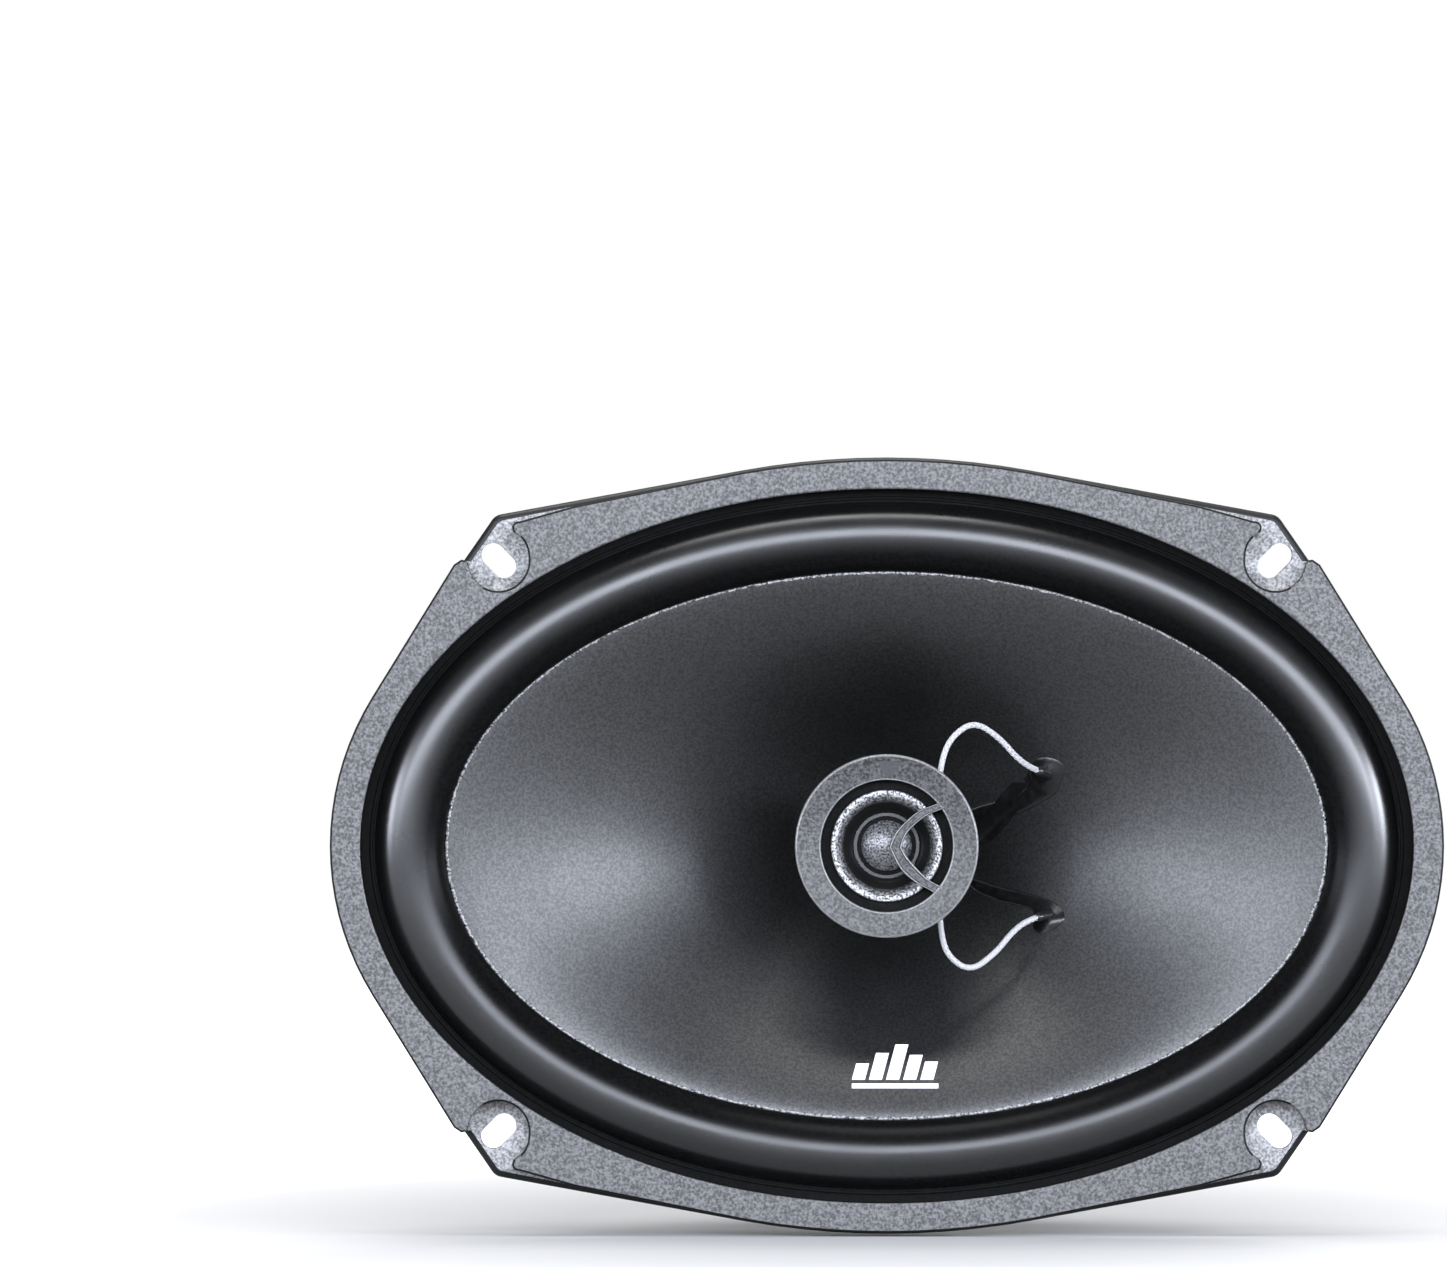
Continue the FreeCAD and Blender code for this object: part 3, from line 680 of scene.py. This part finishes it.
def radialBlend(piece, shareOf):
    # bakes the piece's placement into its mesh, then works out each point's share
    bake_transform(piece)
    shares = [shareOf(v.co) for v in piece.data.vertices]


def easeIn(share):
    share = max(0.0, min(1.0, share))
    return share * share * (3 - 2 * share)


def surroundProfile():
    # the section through the roll, as (distance outside the crest line, depth)
    s = surround
    front, foot, inner, skin = s["front"], s["outerFoot"], s["innerFoot"], s["skin"]
    beadFrom, beadMiddle, beadTo = s["bead"]
    start = (beadFrom, front - 0.05)
    base = (foot, front - 0.1)
    backStart = (inner + skin, s["innerBack"])
    profile = [(s["landEdge"], front), (s["landShoulder"], front), start]
    profile += arcPoints(start, (beadMiddle, front - s["beadHeight"]), (beadTo, front), 6)
    profile += [(s["groove"], front + 0.02), base]
    profile += arcPoints(base, (0.0, s["crest"]), (inner, front), s["crestPoints"][0])
    profile += [(inner, s["footFold"]), (inner, 0.0), (s["flap"][0], 0.0), (s["flap"][1], 0.0),
                (s["flap"][1], s["flapBack"]), (inner + skin, s["flapBack"]), backStart]
    profile += arcPoints(backStart, (0.0, s["crest"] + skin), (foot - skin, s["back"]),
                         s["crestPoints"][1])
    return profile + [(s["landEdge"], s["back"])]


def turnBeside(x, z):
    # the turn round the oval at which its crest line passes nearest to a point in mm
    return math.atan2(z * surround["oval"][0], x * surround["oval"][1])


def makeSurround():
    s = surround
    bm = bmesh.new()
    base = 200.0                # any radius well outside the profile
    addTurned(bm, [(base + u, y) for u, y in surroundProfile()], s["around"])
    for vert in bm.verts:
        turn = math.atan2(vert.co.z, vert.co.x)
        out = math.hypot(vert.co.x, vert.co.z) / mm - base
        x, z = onOval(s["oval"], turn, out)
        vert.co = Vector((x * mm, vert.co.y, z * mm))
    piece = finishMesh(bm, "surroundRoll", finishes["rollRubber"], sharpAngle=50.0)

    def shareOf(spot, start=s["innerFoot"], end=s["outerFoot"]):
        # 1 at the inner end and 0 at the outer one, by distance outside the crest line
        x, z = spot.x / mm, spot.z / mm
        turn = turnBeside(x, z)
        cx, cz = onOval(s["oval"], turn, 0.0)
        nx, nz = onOval(s["oval"], turn, 1.0)
        out = (x - cx) * (nx - cx) + (z - cz) * (nz - cz)
        return easeIn((end - out) / (end - start))

    radialBlend(piece, shareOf)
    # painted shade: the land outside the roll's outer foot, out to the trim ring's opening and over the
    # basket's flange, takes the dull near-black finish
    piece.data.materials.append(finishes["landRubberShade"])
    for face in piece.data.polygons:
        x, z = face.center.x / mm, face.center.z / mm
        cx, cz = onOval(s["oval"], turnBeside(x, z), 0.0)
        outside = math.hypot(x, z) > math.hypot(cx, cz)
        face.material_index = int(outside and math.hypot(x - cx, z - cz) > s["outerFoot"])
    # painted highlight on the crest and painted shade on the inner flank, as a specular level at each
    # point
    sheen = piece.data.attributes.new("sheen", "FLOAT", "POINT")
    for vert in piece.data.vertices:
        share = shareOf(vert.co, s["shineFrom"], s["shineTo"])
        sheen.data[vert.index].value = s["flankShadeLevel"] + s["crestHighlightLevel"] * (1 - share)
    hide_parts("surround")


makeSurround()
print("surround made")


# the cone

cone = {
    "neck": (15.6, 15.6),
    "edge": (94.0, 58.3),
    "edgeDepth": -2.0,
    "depth": 34.0,
    "curve": 1.3,
    "thick": 0.8,
    "around": 240,
    "rows": 44,
    "crowding": 1.25,       # above 1, rows lie closer together near the edge
}


def coneAt(share):
    # half length, half height and depth of the cone's face at a share of the way to its edge
    a = cone["neck"][0] + (cone["edge"][0] - cone["neck"][0]) * share
    b = cone["neck"][1] + (cone["edge"][1] - cone["neck"][1]) * share
    return a, b, cone["edgeDepth"] + cone["depth"] * max(0.0, 1 - share) ** cone["curve"]


def coneDepth(x, z):
    # depth of the cone's face at a point in mm
    low, high = -0.1, 1.0
    for _ in range(24):
        share = (low + high) / 2
        a, b, _ = coneAt(share)
        if (x / a) ** 2 + (z / b) ** 2 > 1:
            low = share
        else:
            high = share
    return coneAt((low + high) / 2)[2]


def makeCone():
    base, span = 100.0, 80.0        # any two lengths: they carry each row's share of the way
    rows = cone["rows"]
    shares = [1 - (1 - i / rows) ** cone["crowding"] for i in range(rows + 1)]
    front = [(base + span * s, coneAt(s)[2]) for s in shares]
    back = [(r, y + cone["thick"]) for r, y in reversed(front)]
    bm = bmesh.new()
    addTurned(bm, front + back, cone["around"])
    for vert in bm.verts:
        turn = math.atan2(vert.co.z, vert.co.x)
        share = (math.hypot(vert.co.x, vert.co.z) / mm - base) / span
        a, b, _ = coneAt(share)
        vert.co = Vector((a * math.cos(turn) * mm, vert.co.y, b * math.sin(turn) * mm))
    piece = finishMesh(bm, "conePaper", finishes["coneGrain"], sharpAngle=50.0)
    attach(piece, "cone_assembly")
    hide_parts("cone")


glue = {
    "out": 0.12,                    # distance outside the cone's edge, in mm
    "thick": 0.34,
    "height": 0.6,                  # as a share of the thickness
    "sink": 0.02,
    "wanders": [(0.9, 0.16), (3.1, 0.10)],      # closeness and size of the sideways waves
    "lumps": [(2.3, 0.22), (7.7, 0.12)],        # the same for the changes in thickness
    "noiseRadius": 60,
    "around": 1440,
    "sides": 8,
}


def makeEdgeGlue():
    # the thin uneven line of glue where the cone meets the surround
    bm = bmesh.new()
    (slowWander, slowWidth), (fastWander, fastWidth) = glue["wanders"]
    (slowLump, slowRise), (fastLump, fastRise) = glue["lumps"]
    elsewhere = Vector((9, 0, 0))

    def place(u, v):
        turn = fullTurn * u
        spot = Vector((math.cos(turn) * glue["noiseRadius"], math.sin(turn) * glue["noiseRadius"], 0))
        wander = noise.noise(spot * slowWander) * slowWidth + noise.noise(spot * fastWander) * fastWidth
        thick = glue["thick"] + slowRise * noise.noise(spot * slowLump + elsewhere)
        thick += fastRise * noise.noise(spot * fastLump)
        side = fullTurn * v
        x, z = onOval(cone["edge"], turn, glue["out"] + wander + thick * math.cos(side))
        y = cone["edgeDepth"] - glue["sink"] + glue["height"] * thick * math.sin(side)
        return Vector((x, y, z)) * mm

    addWarpedGrid(bm, glue["around"], glue["sides"], place)
    bmesh.ops.remove_doubles(bm, verts=bm.verts, dist=weld)
    piece = finishMesh(bm, "edgeGlue", finishes["clearGlue"], sharpAngle=80.0)
    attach(piece, "cone_assembly")


makeCone()
makeEdgeGlue()
print("cone made")


# adhesive over the lead-out wires, and the sleeves that carry the leads through the cone

films = {
    "height": 0.32,
    "headHeight": 1.1,
    "headReach": 4.2,           # how far the thick head of a film extends
    "edgeFall": 3.0,            # above 1, the film stays thick nearer to its edge
    "edgeSink": 0.12,           # how far the rim goes under the cone's face
    "edgeWander": 0.0108,
    "edgeWanderCloseness": 0.8,
    "ripple": 0.05,
    "rippleCloseness": 0.9,
    "skin": 0.1,
    "middlePoints": 40,
    "rows": 10,
    "around": 160,
    # (radius, distance along the lead) of a sleeve, from its open end to inside the cone
    "sleeveProfile": [(0.0, -1.5), (0.74, -1.5), (0.92, -1.3), (1.08, -0.8), (1.15, 0.0), (1.15, 7.4),
                      (1.05, 7.9), (0.8, 8.15), (0.0, 8.15)],
    "sleeveAround": 28,
    "upper": {
        "outline": [(18.5, 7.3), (23.6, 9.1), (27.8, 10.6), (29.9, 11.8), (30.8, 13.1), (29.9, 14.0),
                    (30.6, 15.1), (32.0, 17.9), (34.1, 18.7), (36.8, 18.2), (38.6, 16.6), (38.0, 13.7),
                    (36.8, 11.0), (34.1, 9.2), (30.2, 7.1), (26.0, 5.6), (21.2, 4.7), (18.4, 4.1)],
        "middle": [(18.6, 5.7), (24.0, 7.3), (29.0, 9.3), (33.0, 12.0), (35.2, 14.8)],
        "sleeve": ((33.5, 16.2, 15.6), (31.4, 14.0, 16.4)),
    },
    "lower": {
        "outline": [(18.4, -7.4), (25.0, -9.3), (29.9, -10.4), (35.1, -11.9), (37.8, -13.7),
                    (38.5, -16.1), (36.4, -18.3), (33.4, -19.4), (31.8, -17.8), (31.8, -14.5),
                    (28.3, -13.2), (24.4, -12.3), (18.9, -9.8)],
        "middle": [(18.6, -8.6), (25.0, -10.8), (30.0, -12.3), (34.0, -14.2), (35.3, -16.0)],
        "sleeve": ((33.4, 16.2, -15.5), (31.2, 14.0, -16.0)),
    },
}


def nearestOn(line, spot):
    best = None
    for a, b in zip(line, line[1:]):
        span = (b[0] - a[0], b[1] - a[1])
        t = ((spot[0] - a[0]) * span[0] + (spot[1] - a[1]) * span[1]) / (span[0] ** 2 + span[1] ** 2)
        near = mix(a, b, max(0.0, min(1.0, t)))
        away = math.dist(near, spot)
        if best is None or away < best[0]:
            best = (away, near)
    return best[1]


def makeFilm(name, film):
    f = films
    middle = smoothThrough(film["middle"], f["middlePoints"])
    outline = smoothThrough(film["outline"], f["around"], closed=True)
    head = film["middle"][-1]
    bm = bmesh.new()

    def place(u, v):
        edge = outline[round(u * f["around"]) % f["around"]]
        closeness = f["edgeWanderCloseness"]
        wander = f["edgeWander"] * noise.noise(Vector((edge[0] * closeness, edge[1] * closeness, 3.0)))
        share = 1 - v
        x, z = mix(nearestOn(middle, edge), edge, share * (1 + wander))
        atHead = easeIn(1 - math.dist((x, z), head) / f["headReach"])
        rise = f["height"] + (f["headHeight"] - f["height"]) * atHead
        rise *= (1 - share ** f["edgeFall"])
        rise += f["ripple"] * noise.noise(Vector((x, z, 0)) * f["rippleCloseness"]) * (1 - share)
        sink = f["edgeSink"] if v < 0.01 else 0.0
        return Vector((x, coneDepth(x, z) - rise + sink, z)) * mm

    addWarpedGrid(bm, f["around"], f["rows"], place)
    bmesh.ops.remove_doubles(bm, verts=bm.verts, dist=20 * weld)
    bmesh.ops.recalc_face_normals(bm, faces=bm.faces)
    bmesh.ops.solidify(bm, geom=bm.faces[:], thickness=f["skin"] * mm)
    piece = finishMesh(bm, name, finishes["adhesive"], sharpAngle=80.0)
    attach(piece, "cone_assembly")


def makeSleeve(name, film):
    end, before = (Vector(p) for p in film["sleeve"])
    ahead = (end - before).normalized()
    bm = bmesh.new()
    addTurned(bm, films["sleeveProfile"], films["sleeveAround"])
    turn = Vector((0, 1, 0)).rotation_difference(ahead)
    for vert in bm.verts:
        vert.co = turn @ vert.co + end * mm
    piece = finishMesh(bm, name, finishes["sleeveRubber"], sharpAngle=70.0)
    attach(piece, "cone_assembly")
    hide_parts("lead_eyelets")


for side in ("upper", "lower"):
    makeFilm(side + "Film", films[side])
    makeSleeve(side + "Sleeve", films[side])
print("adhesive and sleeves made")


# a plain five-bar mark printed on the cone

mark = {
    "left": -7.4,
    "right": 11.1,
    "base": -50.2,
    "heights": [3.4, 5.6, 7.4, 5.2, 3.8],
    "gap": 0.9,
    "lean": 0.28,           # how far the bars lean to the right for each mm of height
    "rule": (-52.0, 1.0),   # the line under them: its bottom and its height
    "film": 0.04,           # how far the print stands off the cone
    "thick": 0.03,
}


def addPatch(bm, corner, width, height, lean):
    def place(u, v):
        z = corner[1] + height * v
        x = corner[0] + width * u + lean * (z - mark["base"])
        return Vector((x, coneDepth(x, z) - mark["film"], z)) * mm

    addWarpedGrid(bm, max(4, round(width * 2)), max(2, round(height * 2)), place)


def makeMark():
    count = len(mark["heights"])
    lean = mark["lean"]
    reach = mark["right"] - mark["left"] - lean * mark["heights"][-1]
    width = (reach - mark["gap"] * (count - 1)) / count
    bm = bmesh.new()
    for i, height in enumerate(mark["heights"]):
        left = mark["left"] + i * (width + mark["gap"])
        addPatch(bm, (left, mark["base"]), width, height, lean)
    bottom, height = mark["rule"]
    addPatch(bm, (mark["left"], bottom), mark["right"] - mark["left"], height, 0.0)
    bmesh.ops.recalc_face_normals(bm, faces=bm.faces)
    bmesh.ops.solidify(bm, geom=bm.faces[:], thickness=mark["thick"] * mm)
    piece = finishMesh(bm, "fiveBarMark", finishes["whitePrint"], sharpAngle=40.0)
    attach(piece, "cone_assembly")


makeMark()
print("mark made")


# the corrugated spider

spider = {
    "inner": 15.55,
    "outer": 55.0,
    "front": 35.25,         # depth of its flat parts
    "waveFrom": 18.0,
    "waveTo": 47.0,
    "waves": 5,
    "height": 1.25,
    "thick": 0.6,
    "rows": 84,
    "around": 144,
}


def makeSpider():
    s = spider
    front = []
    for i in range(s["rows"] + 1):
        r = s["inner"] + (s["outer"] - s["inner"]) * i / s["rows"]
        share = (r - s["waveFrom"]) / (s["waveTo"] - s["waveFrom"])
        wave = math.sin(fullTurn * s["waves"] * share) if 0 < share < 1 else 0.0
        front.append((r, s["front"] - s["height"] * wave))
    back = [(r, y + s["thick"]) for r, y in reversed(front)]
    bm = bmesh.new()
    addTurned(bm, front + back, s["around"])
    piece = finishMesh(bm, "spiderDisc", finishes["spiderCloth"], sharpAngle=50.0)

    def shareOf(spot):
        return easeIn((s["waveTo"] - radiusAt(spot)) / (s["waveTo"] - s["waveFrom"]))

    radialBlend(piece, shareOf)
    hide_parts("spider")


makeSpider()
print("spider made")


# the tweeter

tweeter = {
    "bezel": [(14.1, -3.8), (14.1, -6.15), (14.2, -6.4), (14.45, -6.5), (18.85, -6.5), (19.0, -6.58),
              (19.2, -6.6), (19.42, -6.5), (19.6, -6.2), (19.65, -5.9), (19.65, -2.6), (18.0, -2.6),
              (18.0, -3.8)],
    "annulus": [(14.08, -3.4), (12.02, -3.4), (12.02, -2.2), (14.08, -2.2)],
    "flare": [(12.02, -3.3), (12.05, -3.8), (12.0, -4.25), (11.85, -4.5), (11.5, -4.62), (11.1, -4.5),
              (10.6, -4.1), (9.9, -3.35), (9.2, -2.6), (8.55, -1.8), (8.0, -1.1), (7.5, -0.7),
              (7.1, -0.55), (7.1, 1.0), (12.02, 1.0)],
    "domeRadius": 5.6,
    "domeRise": 2.4,
    "domeBase": -0.3,
    "domeFold": 5.85,           # radius at which the skin lies down on its ring
    "domeRim": 6.2,
    "domeShadeFrom": 5.45,           # outside this radius the skin carries painted shade
    "domeThick": 0.2,
    "domeRows": 24,
    "guardFront": -6.62,
    "guardOuter": [[(10.5, -10.3), (9.8, -9.7), (5.9, -7.45), (2.9, -4.6), (0.67, -0.25)],
                   [(0.67, -0.25), (2.0, 2.7), (4.27, 5.29), (7.1, 7.5), (10.57, 8.89), (11.4, 9.3)]],
    "guardInner": [[(11.8, -9.0), (11.0, -8.5), (8.3, -6.85), (4.57, -2.95), (2.98, -0.3)],
                   [(2.98, -0.3), (3.75, 2.0), (5.17, 3.94), (8.3, 6.5), (11.4, 7.84), (12.3, 8.3)]],
    "guardSection": [(-0.5, 1.7), (-0.5, 0.2), (-0.47, 0.05), (-0.41, 0.0), (-0.35, 0.04),
                     (-0.29, 0.3), (0.29, 0.3), (0.35, 0.04), (0.41, 0.0), (0.47, 0.05),
                     (0.5, 0.2), (0.5, 1.7)],
    "guardRows": 36,
    "guardWiden": 1.15,
    "guardSunk": 0.25,          # how far behind its rims the guard's face lies
    "rimInner": 14.4,           # bezel grain lies between these radii
    "rimOuter": 19.15,
    "rimDepth": -6.3,
    "wallAbove": -0.6,          # forward slope past which a face of the guard is a wall
    "rimAbove": -0.3,           # and of the bezel
    "wedgeRadius": (14.9, 3.2),         # where it starts and how far it reaches
    "wedgeHalf": (0.75, 2.4),
    "wedgeShift": 0.5,
    "wedgeFront": -6.53,
    "wedgeThick": 0.04,
}


def makeTurned(name, profile, steps, finish, body, replaced, sharpAngle=40.0):
    bm = bmesh.new()
    addTurned(bm, profile, steps)
    piece = finishMesh(bm, name, finishes[finish], sharpAngle)
    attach(piece, body)
    if replaced:
        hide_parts(replaced)
    return piece


def makeGuard():
    # one bar that comes to a point in the middle, with raised rims and a sunk face
    t = tweeter
    rows, section = t["guardRows"], t["guardSection"]
    outer, inner = [], []
    for line, key in ((outer, "guardOuter"), (inner, "guardInner")):
        line += smoothThrough(t[key][0], rows)
        line += smoothThrough(t[key][1], rows)[1:]
    bm = bmesh.new()

    def place(u, v):
        i = round(u * 2 * rows)
        across, depth = section[round(v * len(section)) % len(section)]
        x, z = mix(outer[i], inner[i], 0.5 + across * t["guardWiden"])
        return Vector((x, t["guardFront"] + depth, z)) * mm

    addWarpedGrid(bm, 2 * rows, len(section), place)
    bmesh.ops.remove_doubles(bm, verts=bm.verts, dist=weld)
    bmesh.ops.holes_fill(bm, edges=[e for e in bm.edges if e.is_boundary], sides=16)
    piece = finishMesh(bm, "guardBar", finishes["rimHighlight"], sharpAngle=40.0)
    piece.data.materials.append(finishes["bezelGrain"])
    piece.data.materials.append(finishes["paintedEdgeShade"])
    # painted shade on the walls, the bezel's grain on the sunk face, and a painted highlight on the rims
    # and the rest of the front
    sunk = t["guardFront"] + t["guardSunk"]
    for face in piece.data.polygons:
        if face.normal.y > t["wallAbove"]:
            face.material_index = 2
        elif face.center.y / mm > sunk:
            face.material_index = 1
    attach(piece, "frame")


def makeWedge():
    # the smooth wedge at the top of the bezel
    t = tweeter
    (start, reach), (narrow, wide) = t["wedgeRadius"], t["wedgeHalf"]
    bm = bmesh.new()

    def place(u, v):
        radius = start + reach * v
        half = narrow + (wide - narrow) * v
        x = t["wedgeShift"] + half * (2 * u - 1)
        return Vector((x, t["wedgeFront"], math.sqrt(radius ** 2 - x * x))) * mm

    addWarpedGrid(bm, 8, 6, place)
    bmesh.ops.recalc_face_normals(bm, faces=bm.faces)
    bmesh.ops.solidify(bm, geom=bm.faces[:], thickness=t["wedgeThick"] * mm)
    piece = finishMesh(bm, "bezelWedge", finishes["smoothPlastic"], sharpAngle=40.0)
    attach(piece, "frame")


def makeDome():
    t = tweeter
    rows = t["domeRows"]
    sphere = (t["domeRadius"] ** 2 + t["domeRise"] ** 2) / (2 * t["domeRise"])
    widest = math.asin(t["domeRadius"] / sphere)
    top = t["domeBase"] - t["domeRise"]
    tilts = [widest * i / rows for i in range(rows + 1)]
    front = [(sphere * math.sin(tilt), top + sphere * (1 - math.cos(tilt))) for tilt in tilts]
    front += [(t["domeFold"], t["domeBase"] + 0.02), (t["domeRim"], t["domeBase"])]
    back = [(r, y + t["domeThick"]) for r, y in reversed(front)]
    piece = makeTurned("domeSkin", front + back, 72, "domeFilm", "tweeter_diaphragm",
                       "tweeter_dome", 60.0)
    # painted shade on the skin's rim, in the gap between dome and ring
    piece.data.materials.append(finishes["paintedRecessShade"])
    for face in piece.data.polygons:
        face.material_index = int(radiusAt(face.center) > t["domeShadeFrom"])


def makeBezel():
    # grained ring whose two thin rims carry a painted highlight
    t = tweeter
    piece = makeTurned("bezelRing", t["bezel"], 144, "bezelGrain", "frame", "tweeter_bezel")
    piece.data.materials.append(finishes["rimHighlight"])
    for face in piece.data.polygons:
        flat = t["rimInner"] < radiusAt(face.center) < t["rimOuter"]
        rim = face.center.y / mm < t["rimDepth"] and face.normal.y < t["rimAbove"]
        face.material_index = int(rim and not flat)


makeBezel()
makeTurned("waveguide", tweeter["flare"], 144, "waveguideFlare", "frame", "tweeter_waveguide",
           50.0)
# a near-black ring laid in the recess between bezel and waveguide: painted shade
makeTurned("annulusShade", tweeter["annulus"], 144, "paintedRecessShade", "frame", None, 50.0)
makeGuard()
makeWedge()
makeDome()
print("tweeter made")


# floor, light and air

cool, neutral = (0.93, 0.985, 1.12), (1.0, 1.0, 1.0)
studio = {
    "floorDepth": -83.4,
    "floorRadius": 14.0,
    "floorTone": 0.34,
    "shadowPatchScale": (4.0, 2.2, 0.0),      # painted light: the floor glows for the camera, except in an oval patch under the speaker where the shadow shows
    "shadowPatchShift": (0.0, -0.17, 0.0),
    "floorGlowFade": [(0.28, 0.0), (0.62, 0.3), (1.0, 1.0)],
    "ambient": 0.05,
    "lights": [
        # name, place, width, height, watts, colour; all aim at the speaker
        ("frontStrip", (0.0, -2.30, 0.66), 4.2, 0.8, 126.0, cool),
        ("leftStrip", (-2.0, -1.45, 0.42), 1.4, 0.6, 22.0, cool),
        ("rightStrip", (2.0, -1.45, 0.42), 1.4, 0.6, 34.0, cool),
        ("leftFar", (-2.4, -0.70, 0.40), 1.2, 0.7, 34.0, cool),
        ("rightFar", (2.4, -0.70, 0.40), 1.2, 0.7, 46.0, cool),
        ("topSoft", (-0.1, 0.0, 1.75), 1.6, 0.8, 42.0, neutral),
        ("backSoft", (0.9, 2.2, 1.1), 1.6, 1.0, 30.0, neutral),
    ],
}


def makeFloor():
    bm = bmesh.new()
    bmesh.ops.create_circle(bm, cap_ends=True, segments=96, radius=studio["floorRadius"])
    bmesh.ops.translate(bm, verts=bm.verts, vec=(0, 0, studio["floorDepth"] * mm))
    material = newMaterial("paleFloor", grey(studio["floorTone"]), 0.7)
    shader = shaderOf(material)
    place = addNode(material, "ShaderNodeTexCoord")
    patch = addNode(material, "ShaderNodeMapping", Scale=studio["shadowPatchScale"],
                    Location=studio["shadowPatchShift"])
    join(material, place.outputs["Object"], patch.inputs["Vector"])
    away = addNode(material, "ShaderNodeVectorMath", operation="LENGTH")
    join(material, patch.outputs["Vector"], away.inputs[0])
    glow = rampOf(material, away.outputs["Value"], studio["floorGlowFade"])
    # painted light: the floor glows only to the camera, more so away from the speaker
    ray = addNode(material, "ShaderNodeLightPath")
    seen = addNode(material, "ShaderNodeMath", operation="MULTIPLY")
    join(material, glow, seen.inputs[0])
    join(material, ray.outputs["Is Camera Ray"], seen.inputs[1])
    join(material, seen.outputs["Value"], shader.inputs["Emission Strength"])
    shader.inputs["Emission Color"].default_value = (1, 1, 1, 1)
    finishMesh(bm, "paleFloor", material)


def makeWorld():
    world = bpy.data.worlds.new("studioAir")
    scene.world = world
    world.use_nodes = True
    tree = world.node_tree
    background = tree.nodes["Background"]
    ray = tree.nodes.new("ShaderNodeLightPath")
    level = tree.nodes.new("ShaderNodeMapRange")
    level.inputs["To Min"].default_value = studio["ambient"]
    level.inputs["To Max"].default_value = 1.0
    tree.links.new(ray.outputs["Is Camera Ray"], level.inputs["Value"])
    tree.links.new(level.outputs["Result"], background.inputs["Strength"])
    background.inputs["Color"].default_value = (1, 1, 1, 1)


def makeLights():
    for name, place, width, height, power, colour in studio["lights"]:
        data = bpy.data.lights.new(name, "AREA")
        data.shape = "RECTANGLE"
        data.size, data.size_y = width, height
        data.energy = power
        data.color = colour
        lamp = bpy.data.objects.new(name, data)
        lamp.location = place
        lamp.rotation_euler = (-Vector(place)).to_track_quat("-Z", "Y").to_euler()
        lamp.visible_camera = False
        scene.collection.objects.link(lamp)


makeFloor()
makeWorld()
makeLights()
scene.view_settings.view_transform = "Standard"
print("studio made")
